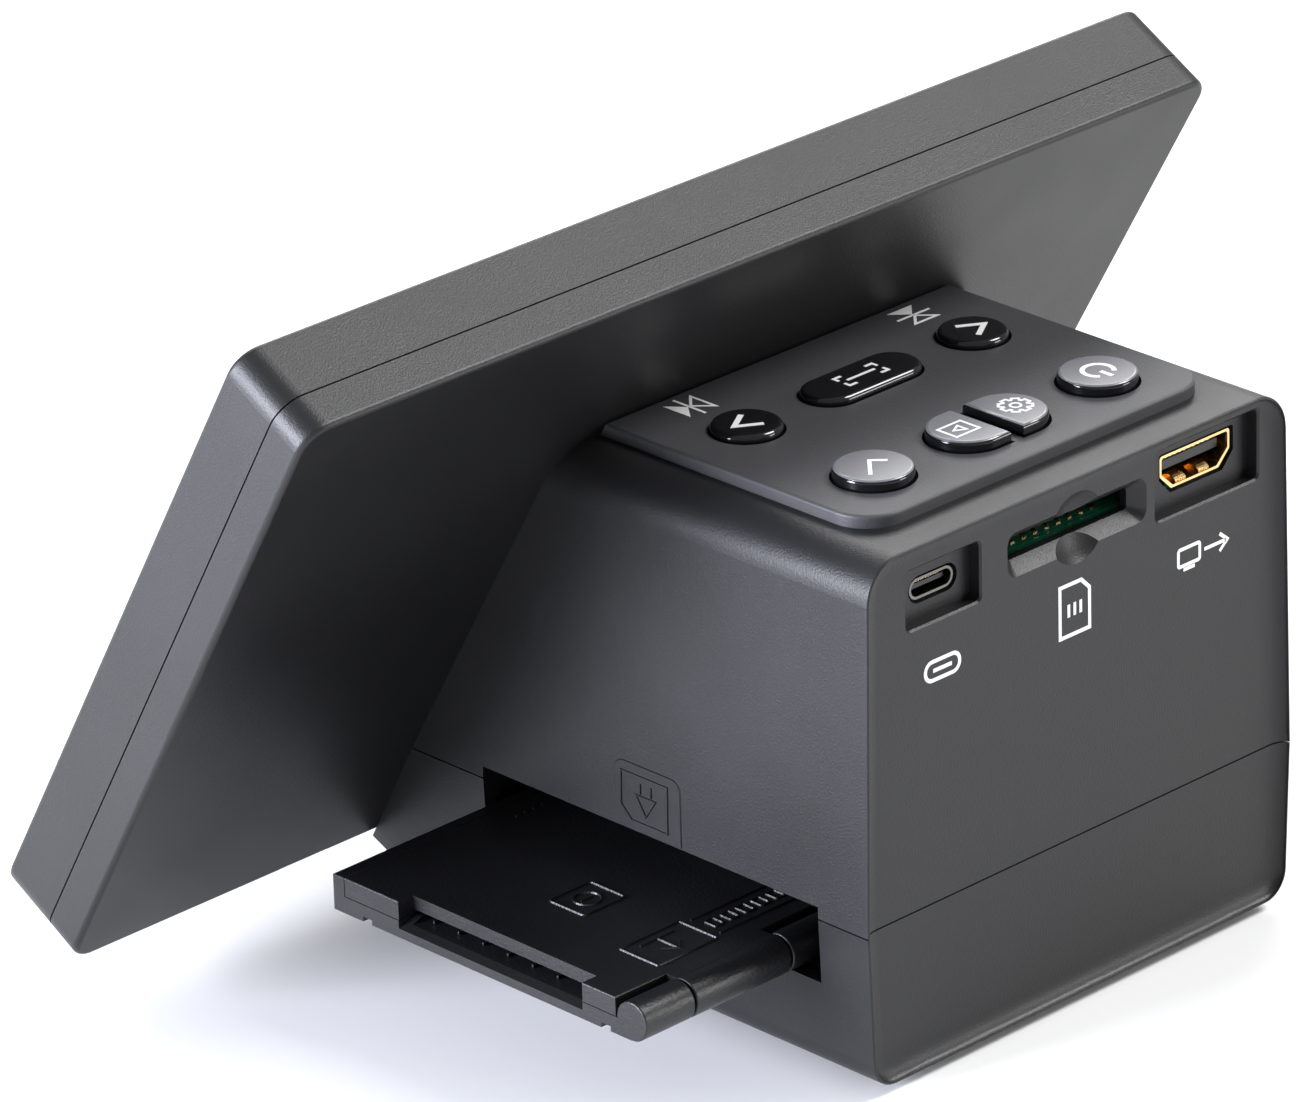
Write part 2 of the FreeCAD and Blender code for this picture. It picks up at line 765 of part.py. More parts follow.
def screen_screw_holes(radius, out0, out1):
    """Holes square to the slanted front, from out0 to out1 behind it."""
    holes = []
    for x, up in screen_screw_spots():
        start = screen_point(x, up, -out1)
        end = screen_point(x, up, -out0)
        holes.append(rod(radius, start, end - start))
    return holes


def ribbon_block(out0, out1):
    """Room for the ribbon cable, in the screen's own directions."""
    half = ribbon_width / 2 + ribbon_side_gap
    return box(-half - screen_offset, half - screen_offset, ribbon_up - ribbon_window_half,
               ribbon_up + ribbon_window_half, out0, out1)


def make_screen_rear():
    outer = screen_block(0, 0, rear_thickness, screen_corner)
    outer = round_edges(outer, rear_round, flat_at(0))
    inner = screen_block(screen_wall, screen_wall, rear_thickness + 1, screen_corner - screen_wall)
    adds = [outer.cut(inner)]
    for x, up in screen_screw_spots():
        adds.append(post(screen_screw_boss, x, up, screen_wall - 0.1, rear_thickness - 1.0))
    for x, up in screen_board_spots():
        adds.append(post(screen_board_post, x, up, screen_wall - 0.1, screen_board_out))
    shape = fuse(adds)
    cuts = [post(case_screw_radius, x, up, -1, rear_thickness - 2) for x, up in screen_screw_spots()]
    cuts += [post(screen_board_pilot, x, up, screen_wall, screen_board_out + 1)
             for x, up in screen_board_spots()]
    notch = box(pry_slot_offset - pry_slot_length / 2, pry_slot_offset + pry_slot_length / 2,
                -1, pry_slot_depth, -1, rear_thickness + 1)
    cuts.append(notch)
    cuts.append(ribbon_block(-1, screen_wall + 1))
    return tilt_up(shape.cut(cuts))


def make_screen_bezel():
    low = rear_thickness + seam_gap
    high = rear_thickness + bezel_thickness
    outer = screen_block(0, low, high, screen_corner)
    outer = round_edges(outer, bezel_round, flat_at(high))
    shelf = high - glass_thickness
    cavity = screen_block(screen_wall, low - 1, shelf - bezel_front_wall, screen_corner - screen_wall)
    mid = screen_length / 2
    half_x = lcd_width / 2 + lcd_clearance
    half_y = lcd_length / 2 + lcd_clearance
    around_x = half_x + lcd_frame_wall
    around_y = half_y + lcd_frame_wall
    frame = box(-around_x, around_x, mid - around_y, mid + around_y,
                shelf - bezel_front_wall - lcd_thickness + 1, shelf - bezel_front_wall + 0.1)
    frame = frame.cut(box(-half_x, half_x, mid - half_y, mid + half_y, 0, high))
    lip = screen_block(screen_wall + lip_clearance, rear_thickness - 1.2, low + 2,
                       screen_corner - screen_wall)
    lip = lip.cut(screen_block(screen_wall + lip_clearance + lip_thickness, 0, high,
                               screen_corner - screen_wall - lip_thickness))
    band = screen_block(screen_wall - 0.1, low + 0.8, low + 2, screen_corner - screen_wall)
    band = band.cut(screen_block(screen_wall + lip_clearance + lip_thickness, 0, high,
                                 screen_corner - screen_wall - lip_thickness))
    shape = fuse([outer.cut(cavity), frame, lip, band])
    pocket = screen_block(bezel_rim, shelf, high + 1, screen_corner - 2)
    view = box(-view_width / 2 - 1, view_width / 2 + 1, mid - view_length / 2 - 1,
               mid + view_length / 2 + 1, 0, high + 1)
    return tilt_up(shape.cut([pocket, view]))


def make_screen_glass():
    high = rear_thickness + bezel_thickness
    glass = screen_block(bezel_rim + glass_clearance, high - glass_thickness, high,
                         screen_corner - 2)
    return tilt_up(glass)


def lcd_back():
    return rear_thickness + bezel_thickness - glass_thickness - bezel_front_wall - lcd_thickness


def make_lcd_panel():
    mid = screen_length / 2
    low = lcd_back()
    frame = plate(-lcd_width / 2, lcd_width / 2, mid - lcd_length / 2, mid + lcd_length / 2,
                  low + 1.6, low + lcd_thickness, 0.8)
    return tilt_up(frame)


def make_lcd_backlight():
    mid = screen_length / 2
    low = lcd_back()
    tub = plate(-lcd_width / 2 + 0.6, lcd_width / 2 - 0.6, mid - lcd_length / 2 + 0.6,
                mid + lcd_length / 2 - 0.6, low, low + 1.6, 0.8)
    return tilt_up(tub)


def screen_board_spots():
    return [(x - screen_offset, up) for x in (-screen_board_screw_x, screen_board_screw_x)
            for up in (screen_board_screw_low, screen_board_screw_high)]


def make_screen_board():
    half = screen_board_screw_x + screen_board_margin
    board = box(-half - screen_offset, half - screen_offset,
                screen_board_screw_low - screen_board_margin,
                screen_board_screw_high + screen_board_margin,
                screen_board_out, screen_board_out + screen_board_thickness)
    holes = [post(screen_board_hole, x, up, 0, rear_thickness) for x, up in screen_board_spots()]
    clear = [post(screen_screw_boss + screen_board_screw_gap, x, up, 0, rear_thickness + 2)
             for x, up in screen_screw_spots()]
    return tilt_up(board.cut(holes + clear))


def make_ribbon():
    """Flat cable from the back of the screen board to the front edge of the main board."""
    half = ribbon_width / 2
    start = screen_point(0, ribbon_up, screen_board_out)
    bend = screen_point(0, ribbon_up, -7.0)
    turn = vec(0, board_front - 2.5, board_low_z - 4.0)
    end = vec(0, board_front + 3.0, board_low_z)
    path = [start, bend, turn, end]
    strips = []
    for first, last in zip(path, path[1:]):
        run = vec(0, last.y - first.y, last.z - first.z)
        side = vec(0, -run.z, run.y).normalize() * (ribbon_thickness / 2)
        corners = []
        for point, way in ((first, 1), (last, 1), (last, -1), (first, -1)):
            corners.append(vec(-half, point.y, point.z) + side * way)
        strips.append(prism(corners, [0] * 4, vec(ribbon_width, 0, 0)))
    for point in path[1:-1]:
        strips.append(rod(ribbon_thickness / 2, vec(-half, point.y, point.z), vec(ribbon_width, 0, 0)))
    shape = fuse(strips)
    above = box(-far, far, -far, far, board_low_z, far)
    return shape.cut([above, make_screen_board()])


# ---- boards ----
def board_screw_spots():
    front = board_front + board_front_screw
    back = board_back_y - board_back_screw
    return [(side * board_screw_x, y) for side in (-1, 1) for y in (front, back)]


def keypad_screw_spots():
    middle = (front_row_y + back_row_y) / 2 - 1.0
    return [(side * x, middle) for side in (-1, 1) for x in (keypad_screw_inner_x, keypad_screw_outer_x)]


def make_main_board():
    board = box(-board_half_x, board_half_x, board_front, board_back_y, board_low_z, board_top_z)
    holes = [post(board_hole_radius, x, y, board_low_z - 1, board_top_z + 1) for x, y in board_screw_spots()]
    return board.cut(holes)


def make_board_screws():
    screws = []
    for x, y in board_screw_spots():
        shank = post(board_screw_radius, x, y, board_low_z - 0.1, board_top_z + 4.5)
        head = post(board_head_radius, x, y, board_low_z - board_head_height, board_low_z)
        screws.append(fuse([head, shank]))
    return Part.makeCompound(screws)


def make_keypad_screws():
    screws = []
    low = keypad_board_top_z - keypad_board_thickness
    for x, y in keypad_screw_spots():
        shank = post(keypad_screw_radius, x, y, low - 0.1, keypad_board_top_z + 1.8)
        head = post(keypad_head_radius, x, y, low - keypad_head_height, low)
        screws.append(fuse([head, shank]))
    return Part.makeCompound(screws)


def make_keypad_board():
    low = keypad_board_top_z - keypad_board_thickness
    board = box(-keypad_board_half_x, keypad_board_half_x, keypad_board_front, keypad_board_back,
                low, keypad_board_top_z)
    return board.cut([post(keypad_hole_radius, x, y, low - 1, low + 3) for x, y in keypad_screw_spots()])


def make_key_switches():
    """One push switch under the middle of each key."""
    switches = []
    half = switch_side / 2
    for name in keys:
        x, y = key_centre(name)
        body = box(x - half, x + half, y - half, y + half, keypad_board_top_z,
                   keypad_board_top_z + switch_height)
        plunger = post(plunger_radius, x, y, keypad_board_top_z + switch_height, switch_top_z)
        switches.append(fuse([body, plunger]))
    return Part.makeCompound(switches)


def make_data_socket():
    back = socket_face_y - data_shell_depth
    tube = data_outline(0, back, socket_face_y)
    return tube.cut(data_outline(-socket_wall, back + data_back_wall, socket_face_y + 1))


def make_data_tongue():
    z = board_top_z + data_shell_height / 2
    back = socket_face_y - data_shell_depth + data_back_wall
    half = data_tongue_width / 2
    thin = data_tongue_thickness / 2
    return box(data_x - half, data_x + half, back, socket_face_y - data_tongue_setback, z - thin, z + thin)


def make_video_socket():
    back = socket_face_y - video_shell_depth
    tube = video_outline(0, back, socket_face_y)
    return tube.cut(video_outline(-socket_wall, back + video_back_wall, socket_face_y + 1))


def make_video_tongue():
    front = socket_face_y - video_tongue_setback
    back = socket_face_y - video_shell_depth + video_back_wall
    high = board_top_z + video_shell_height - socket_wall - video_tongue_drop
    half = video_shell_width / 2 - video_tongue_inset
    return box(video_x - half, video_x + half, back, front, high - video_tongue_thickness, high)


def make_card_socket():
    front = board_back_y - card_socket_setback
    half = card_socket_width / 2
    low = board_top_z
    high = low + card_socket_height
    cover = box(card_x - half, card_x + half, front - card_socket_depth, front, low, high)
    slot = box(card_x - card_way_half, card_x + card_way_half, front - card_socket_depth + 1, front + 1,
               low + card_way_floor, high - card_way_roof)
    return cover.cut(slot)


# ---- film tray ----
def knuckle_spans():
    """Lengths along X of the hinge knuckles; the first belongs to the frame, then they alternate."""
    spans = []
    x = tray_out
    for length in knuckle_lengths:
        spans.append((x - length, x))
        x -= length + knuckle_gap
    return spans


def hinge_bore():
    """Running fit for the pin, except in the outermost knuckle, which grips it."""
    grip = tray_out - knuckle_lengths[0] + 1
    loose = rod(pin_radius + pin_clearance, vec(tray_in - 1, hinge_y, hinge_z),
                vec(grip - tray_in + 1, 0, 0))
    tight = rod(pin_radius, vec(tray_in - 1, hinge_y, hinge_z), vec(tray_length + 0.4, 0, 0))
    return loose.fuse(tight)


def knuckle(span, web_low, web_high):
    low, high = span
    barrel = rod(hinge_radius, vec(low, hinge_y, hinge_z), vec(high - low, 0, 0))
    barrel = round_edges(barrel, knuckle_round, lambda edge: isinstance(edge.Curve, Part.Circle))
    web = box(low, high, tray_edge - 0.3, hinge_y, web_low, web_high)
    return [barrel, web]


def groove_spots():
    return tray_front + groove_inset, tray_edge - groove_back_inset


def make_tray_frame():
    """Lower half of the film carrier: a plate with one raised side and its hinge knuckles."""
    adds = [box(tray_in, tray_out, tray_front, tray_edge, tray_low_z, frame_top_z)]
    side = box(tray_in, tray_out, tray_front, tray_front + frame_wall, tray_low_z, lid_top_z)
    adds.append(round_edges(side, tray_edge_round, flat_at(lid_top_z)))
    for x in (tray_in + spacer_end_inset, tray_out - spacer_end_inset):
        for y in (tray_front + spacer_front_inset, tray_edge - spacer_back_inset):
            adds.append(box(x - spacer_half, x + spacer_half, y - spacer_half, y + spacer_half,
                            frame_top_z - 0.1, lid_low_z))
    for span in knuckle_spans()[::2]:
        adds += knuckle(span, tray_low_z, frame_top_z)
    shape = fuse(adds)
    half_film = film_width / 2
    half_feed = feed_width / 2
    cuts = [box(tray_in - 1, tray_out + 1, -half_film, half_film, frame_top_z - film_channel,
                frame_top_z + 1)]
    cuts.append(box(-gate_length / 2, gate_length / 2, -gate_width / 2, gate_width / 2,
                    tray_low_z - 1, frame_top_z + 1))
    for end, step in ((tray_out, -1), (tray_in, 1)):
        points = [vec(end + step * feed_ramp, -half_feed, frame_top_z + 0.01),
                  vec(end - step * 0.1, -half_feed, frame_top_z + 0.01),
                  vec(end - step * 0.1, -half_feed, frame_top_z - feed_drop)]
        cuts.append(prism(points, [0] * 3, vec(0, feed_width, 0)))
    for y in groove_spots():
        cuts.append(box(tray_in - 1, tray_out + 1, y - groove_width / 2, y + groove_width / 2,
                        tray_low_z - 1, tray_low_z + groove_depth))
    cuts.append(hinge_bore())
    return shape.cut(cuts)


def make_tray_lid():
    """Upper half of the film carrier, which lifts on the hinge once the tray is out."""
    front = tray_front + frame_wall + 0.1
    cover = box(tray_in + lid_end_gap, tray_out - lid_flush_gap, front, tray_edge, lid_low_z, lid_top_z)
    adds = [round_edges(cover, tray_edge_round, flat_at(lid_top_z))]
    for span in knuckle_spans()[1::2]:
        adds += knuckle(span, lid_low_z + lid_web_rise, lid_top_z)
    shape = fuse(adds)
    half_feed = feed_width / 2
    cuts = []
    for end, step in ((tray_out, -1), (tray_in, 1)):
        x0 = min(end + step * feed_setback, end - step * 2)
        x1 = max(end + step * feed_setback, end - step * 2)
        cuts.append(box(x0, x1, -half_feed, half_feed, lid_low_z - 1, lid_top_z + 1))
        points = [vec(end + step * (feed_setback + lid_ramp), -half_feed, lid_low_z - 0.01),
                  vec(end + step * (feed_setback - 0.1), -half_feed, lid_low_z - 0.01),
                  vec(end + step * (feed_setback - 0.1), -half_feed, lid_low_z + lid_ramp_rise)]
        cuts.append(prism(points, [0] * 3, vec(0, feed_width, 0)))
    cuts.append(box(-gate_length / 2, gate_length / 2, -gate_width / 2, gate_width / 2,
                    lid_low_z - 1, lid_top_z + 1))
    cuts.append(hinge_bore())
    return shape.cut(cuts)


def make_hinge_pin():
    start = knuckle_spans()[-1][0] + pin_end_inset
    return rod(pin_radius, vec(start, hinge_y, hinge_z), vec(tray_out - pin_end_inset - start, 0, 0))


# ---- chassis and optics ----
def make_tray_guide():
    """Channel that the tray runs in, with a window over the light box."""
    low = slot_low_z - guide_floor
    front = slot_front - guide_gap
    back = slot_back + guide_gap
    adds = [box(-guide_floor_half_x, guide_floor_half_x, slot_front + 0.2, slot_back - 0.2, low,
                slot_low_z)]
    adds.append(box(-guide_half_x, guide_half_x, front - guide_wall, back + guide_wall, low, slot_low_z))
    for y in (front - guide_wall, back):
        adds.append(box(-guide_half_x, guide_half_x, y, y + guide_wall, low, guide_top_z))
    for x, y in chassis_spots():
        adds.append(post(chassis_boss_radius, x, y, low, guide_top_z))
    rib_half = groove_width / 2 - rib_clearance
    for y in groove_spots():
        adds.append(box(-guide_half_x, guide_half_x, y - rib_half, y + rib_half, low,
                        tray_low_z + groove_depth - rib_clearance))
    shape = fuse(adds)
    cuts = [box(-guide_window_x, guide_window_x, -guide_window_y, guide_window_y, low - 1,
                slot_low_z + 1)]
    for x, y in case_boss_spots():
        cuts.append(post(case_boss_radius + 0.3, x, y, low - 1, guide_top_z + 1))
    for x, y in chassis_spots():
        cuts.append(post(chassis_screw_radius + 0.1, x, y, low - 1, guide_top_z + 1))
    return shape.cut(cuts)


def make_camera_housing():
    """Dark tower that stands on the guide and carries the lens over the film."""
    front = slot_front - guide_gap - guide_wall
    back = slot_back + guide_gap + guide_wall
    z = guide_top_z + tower_flange
    adds = [box(-tower_foot_x, tower_foot_x, front, back, guide_top_z, z)]
    for x, y in chassis_spots():
        adds.append(post(chassis_boss_radius, x, y, guide_top_z, z))
        inner_x = (tower_foot_x - 1) * x / abs(x)
        adds.append(box(min(x, inner_x), max(x, inner_x), y - chassis_boss_radius,
                        y + chassis_boss_radius, guide_top_z, z))
    adds.append(box(-tower_half_x, tower_half_x, -tower_half_y, tower_half_y, guide_top_z, tower_top_z))
    adds.append(post(lens_radius + collar_wall, 0, 0, tower_top_z - 1, tower_top_z + collar_height))
    for x in (-sensor_post_x, sensor_post_x):
        for y in (-sensor_post_y, sensor_post_y):
            adds.append(post(sensor_post_radius, x, y, tower_top_z - 1, base_z + sensor_board_height))
    shape = fuse(adds)
    inner_x = tower_half_x - tower_wall
    inner_y = tower_half_y - tower_wall
    cuts = [box(-inner_x, inner_x, -inner_y, inner_y, guide_top_z - 1, tower_top_z - tower_wall)]
    cuts.append(post(lens_radius, 0, 0, tower_top_z - 5, tower_top_z + collar_height + 1))
    for x, y in chassis_spots():
        cuts.append(post(chassis_screw_radius + 0.1, x, y, guide_top_z - 1, z + 1))
    return shape.cut(cuts)


def make_lens_barrel():
    low = base_z + lens_bottom
    high = base_z + lens_top
    tube = post(lens_radius, 0, 0, low, high)
    seat = lens_radius - lens_seat_wall
    return tube.cut([post(lens_radius - lens_wall, 0, 0, low - 1, high + 1),
                     post(seat, 0, 0, low - 1, low + lens_seat_depth),
                     post(seat, 0, 0, high - lens_seat_depth, high + 1)])


def make_lens_glass():
    """Front and rear elements, each a disc with one domed face."""
    elements = []
    thick = lens_element_thickness
    rear_low = base_z + lens_top - lens_seat_depth
    front_low = base_z + lens_bottom + lens_seat_depth - thick
    radius = lens_radius - lens_seat_wall - lens_element_gap
    for low, centre in ((front_low, front_low + lens_dome_radius),
                        (rear_low, rear_low + thick - lens_dome_radius)):
        disc = post(radius, 0, 0, low, low + thick)
        elements.append(disc.common(Part.makeSphere(lens_dome_radius, vec(0, 0, centre))))
    return Part.makeCompound(elements)


def make_sensor_board():
    low = base_z + sensor_board_height
    half_x = sensor_post_x + sensor_board_margin
    half_y = sensor_post_y + sensor_board_margin
    return box(-half_x, half_x, -half_y, half_y, low, low + sensor_board_thickness)


def make_image_sensor():
    high = base_z + sensor_board_height
    return box(-sensor_width / 2, sensor_width / 2, -sensor_length / 2, sensor_length / 2,
               high - sensor_thickness, high)


def make_sensor_ribbon():
    low = base_z + sensor_board_height + sensor_board_thickness
    return box(sensor_ribbon_x, sensor_ribbon_x + ribbon_thickness, -sensor_ribbon_width / 2,
               sensor_ribbon_width / 2, low, board_low_z)


def make_light_box():
    low = base_z + wall
    high = slot_low_z - guide_floor - diffuser_thickness
    outer = box(-light_box_half_x, light_box_half_x, -light_box_half_y, light_box_half_y, low, high)
    inner_x = light_box_half_x - light_box_wall
    inner_y = light_box_half_y - light_box_wall
    return outer.cut(box(-inner_x, inner_x, -inner_y, inner_y, low + light_box_wall, high + 1))


def make_diffuser():
    high = slot_low_z - guide_floor
    return box(-light_box_half_x, light_box_half_x, -light_box_half_y, light_box_half_y,
               high - diffuser_thickness, high)


def make_led_board():
    low = base_z + wall + light_box_wall
    half_x = light_box_half_x - light_box_wall - 0.3
    half_y = light_box_half_y - light_box_wall - 0.3
    return box(-half_x, half_x, -half_y, half_y, low, low + led_board_thickness)


def make_leds():
    low = base_z + wall + light_box_wall + led_board_thickness
    leds = []
    for column in range(led_columns):
        for row in range(led_rows):
            x = (column - (led_columns - 1) / 2) * led_step_x
            y = (row - (led_rows - 1) / 2) * led_step_y
            leds.append(box(x - led_length / 2, x + led_length / 2, y - led_width / 2,
                            y + led_width / 2, low, low + led_height))
    return Part.makeCompound(leds)


# ---- screws ----
def make_case_screws():
    screws = []
    seat = seam_z - case_head_drop
    for x, y in case_boss_spots():
        head = post(case_head_radius, x, y, seat - case_head_height, seat)
        shank = post(case_screw_radius - screw_hole_gap, x, y, seat - 0.1, seat + case_screw_length)
        screws.append(fuse([head, shank]))
    return Part.makeCompound(screws)


def make_chassis_screws():
    screws = []
    seat = guide_top_z + tower_flange
    for x, y in chassis_spots():
        head = post(chassis_head_radius, x, y, seat, seat + chassis_head_height)
        shank = post(chassis_screw_radius - screw_hole_gap, x, y, base_z + wall + 3, seat + 0.1)
        screws.append(fuse([head, shank]))
    return Part.makeCompound(screws)


def make_screen_screws():
    screws = []
    out = vec(0, -cos(tilt), sin(tilt))
    for x, up in screen_screw_spots():
        seat = screen_point(x, up, -wall)
        head = rod(screen_head_radius, seat - out * case_head_height, out * case_head_height)
        shank = rod(case_screw_radius - screw_hole_gap, seat - out * 0.1, out * (wall + 3.6))
        screws.append(fuse([head, shank]))
    return Part.makeCompound(screws)


def main():
    os.makedirs("parts", exist_ok=True)
    nodes = {
        "upper_shell": make_upper_shell, "lower_shell": make_lower_shell,
        "keypad_plate": make_keypad_plate, "feet": make_feet,
        "screen_bezel": make_screen_bezel, "screen_rear_shell": make_screen_rear,
        "screen_glass": make_screen_glass, "lcd_panel": make_lcd_panel,
        "lcd_backlight": make_lcd_backlight, "screen_board": make_screen_board,
        "screen_ribbon": make_ribbon, "keypad_board": make_keypad_board,
        "key_switches": make_key_switches, "main_board": make_main_board,
        "data_socket": make_data_socket, "data_tongue": make_data_tongue,
        "video_socket": make_video_socket, "video_tongue": make_video_tongue,
        "card_socket": make_card_socket, "tray_guide": make_tray_guide,
        "tray_frame": make_tray_frame, "tray_lid": make_tray_lid,
        "tray_hinge_pin": make_hinge_pin, "camera_housing": make_camera_housing,
        "lens_barrel": make_lens_barrel, "lens_glass": make_lens_glass,
        "sensor_board": make_sensor_board, "image_sensor": make_image_sensor,
        "sensor_ribbon": make_sensor_ribbon, "light_box": make_light_box,
        "diffuser": make_diffuser, "led_board": make_led_board, "leds": make_leds,
        "case_screws": make_case_screws, "chassis_screws": make_chassis_screws,
        "screen_screws": make_screen_screws, "board_screws": make_board_screws,
        "keypad_screws": make_keypad_screws,
    }
    for name, make in nodes.items():
        save(make(), name)
    for name in keys:
        save(make_key(name), name)


main()
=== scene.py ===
import bmesh
import bpy
import json
from math import cos, pi, radians, sin
from mathutils import Matrix, Vector
from mathutils.bvhtree import BVHTree


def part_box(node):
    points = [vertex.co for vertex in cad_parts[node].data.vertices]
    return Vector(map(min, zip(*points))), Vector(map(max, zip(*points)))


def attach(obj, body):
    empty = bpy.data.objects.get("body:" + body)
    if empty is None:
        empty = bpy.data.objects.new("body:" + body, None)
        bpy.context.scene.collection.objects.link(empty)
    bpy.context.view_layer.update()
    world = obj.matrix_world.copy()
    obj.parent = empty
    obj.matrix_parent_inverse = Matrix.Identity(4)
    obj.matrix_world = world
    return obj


# Looks of a desktop film and slide scanner: finishes for every part, printed and raised symbols,
# contacts and board parts. The scene is in metres; sizes in the dictionaries are millimetres.
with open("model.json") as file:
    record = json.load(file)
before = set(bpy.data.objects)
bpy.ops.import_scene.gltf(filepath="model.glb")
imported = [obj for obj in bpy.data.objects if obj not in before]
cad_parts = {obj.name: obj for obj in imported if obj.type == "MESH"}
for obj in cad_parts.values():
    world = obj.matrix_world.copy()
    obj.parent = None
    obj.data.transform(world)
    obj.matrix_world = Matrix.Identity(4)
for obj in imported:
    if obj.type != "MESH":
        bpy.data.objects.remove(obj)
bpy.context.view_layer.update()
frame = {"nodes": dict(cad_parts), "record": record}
nodes = frame["nodes"]
mm = 0.001
print("frame loaded,", len(nodes), "parts")


view = {
    "lookAt": (18.1, -24.7, 57.1),
    "distance": 1288.1,
    "azimuth": 136.316,
    "elevation": 23.902,
    "roll": -1.691,
    "lens": 240.77,      # on a sensor 36 mm wide
}


def aimCamera():
    azimuth, elevation, roll = (radians(view[key]) for key in ("azimuth", "elevation", "roll"))
    back = Vector((sin(azimuth) * cos(elevation), -cos(azimuth) * cos(elevation), sin(elevation)))
    right = Vector((cos(azimuth), sin(azimuth), 0))
    up = back.cross(right)
    turnedRight = right * cos(roll) + up * sin(roll)
    turnedUp = up * cos(roll) - right * sin(roll)
    place = Vector(view["lookAt"]) * mm + back * view["distance"] * mm
    data = bpy.data.cameras.new("viewCamera")
    data.lens = view["lens"]
    data.sensor_width = 36
    data.sensor_fit = "HORIZONTAL"
    data.clip_end = 20
    camera = bpy.data.objects.new("viewCamera", data)
    bpy.context.scene.collection.objects.link(camera)
    camera.matrix_world = Matrix((
        (turnedRight.x, turnedUp.x, back.x, place.x),
        (turnedRight.y, turnedUp.y, back.y, place.y),
        (turnedRight.z, turnedUp.z, back.z, place.z),
        (0, 0, 0, 1)))
    bpy.context.scene.camera = camera


studio = {
    "skyStrength": 0.42,
    "skylight": 3.0,                       # keeps the paper white and draws the light edges
    "skylightSpread": 24,                  # degrees across
    "skylightFrom": (-0.58, 0.3, 0.76),    # behind, on the side away from the tray
    "floorSize": 6000,
    "floorColour": (0.86, 0.86, 0.86),
    "floorRoughness": 0.8,
}
# name, place, aim, size across and up, colour, watts
softBoxes = (
    ("farBox", (-620, -760, 700), (0, 20, 80), 1100, 500, (1.0, 1.0, 1.0), 10.0),
    ("leftBox", (1000, -350, 260), (40, 0, 50), 500, 500, (0.84, 0.87, 1.0), 36.0),
    ("rightBox", (-700, 900, 240), (0, 40, 60), 400, 300, (1.0, 1.0, 1.0), 4.0),
)


def placeLights():
    bpy.context.scene.view_settings.view_transform = "Standard"
    world = bpy.data.worlds.new("studioSky")
    bpy.context.scene.world = world
    world.use_nodes = True
    sky = world.node_tree.nodes["Background"]
    sky.inputs["Color"].default_value = (1, 1, 1, 1)
    sky.inputs["Strength"].default_value = studio["skyStrength"]
    sun = bpy.data.lights.new("skylight", "SUN")
    sun.energy = studio["skylight"]
    sun.angle = radians(studio["skylightSpread"])
    high = bpy.data.objects.new("skylight", sun)
    bpy.context.scene.collection.objects.link(high)
    high.rotation_euler = Vector(studio["skylightFrom"]).to_track_quat("Z", "Y").to_euler()
    for name, place, aim, across, up, colour, watts in softBoxes:
        data = bpy.data.lights.new(name, "AREA")
        data.color = colour
        data.shape = "RECTANGLE"
        data.size = across * mm
        data.size_y = up * mm
        data.energy = watts
        lamp = bpy.data.objects.new(name, data)
        bpy.context.scene.collection.objects.link(lamp)
        lamp.location = Vector(place) * mm
        lamp.rotation_euler = (Vector(aim) - Vector(place)).to_track_quat("-Z", "Y").to_euler()


def layFloor():
    half = studio["floorSize"] / 2 * mm
    mesh = bpy.data.meshes.new("studioFloor")
    mesh.from_pydata([(-half, -half, 0), (half, -half, 0), (half, half, 0), (-half, half, 0)], [],
                     [(0, 1, 2, 3)])
    floor = bpy.data.objects.new("studioFloor", mesh)
    bpy.context.scene.collection.objects.link(floor)
    paper = newFinish("studioPaper", studio["floorColour"], studio["floorRoughness"])[0]
    mesh.materials.append(paper)


def newGroup(name, inputs, outputs):
    # inputs are (name, socket type, default), with None where there is no default
    group = bpy.data.node_groups.new(name, "ShaderNodeTree")
    for label, kind, value in inputs:
        socket = group.interface.new_socket(name=label, in_out="INPUT", socket_type=kind)
        if value is not None:
            socket.default_value = value
    for label, kind in outputs:
        group.interface.new_socket(name=label, in_out="OUTPUT", socket_type=kind)
    return group, group.nodes.new("NodeGroupInput"), group.nodes.new("NodeGroupOutput")


def addNode(tree, kind, settings=None, values=None):
    node = tree.nodes.new(kind)
    for key, value in (settings or {}).items():
        setattr(node, key, value)
    for key, value in (values or {}).items():
        node.inputs[key].default_value = value
    return node


def sparkGrainGroup():
    # spark-eroded mould texture: fine pits on a slightly uneven ground
    group, ins, outs = newGroup("sparkGrain", [
        ("Vector", "NodeSocketVector", None), ("Grain", "NodeSocketFloat", 2500.0),
        ("Mottle", "NodeSocketFloat", 60.0)],
        [("Height", "NodeSocketFloat"), ("Shade", "NodeSocketFloat")])
    fine = addNode(group, "ShaderNodeTexNoise", None, {"Detail": 2.0, "Roughness": 0.65})
    broad = addNode(group, "ShaderNodeTexNoise", None, {"Detail": 3.0, "Roughness": 0.5})
    link = group.links.new
    link(ins.outputs["Vector"], fine.inputs["Vector"])
    link(ins.outputs["Grain"], fine.inputs["Scale"])
    link(ins.outputs["Vector"], broad.inputs["Vector"])
    link(ins.outputs["Mottle"], broad.inputs["Scale"])
    link(fine.outputs["Fac"], outs.inputs["Height"])
    link(broad.outputs["Fac"], outs.inputs["Shade"])
    return group


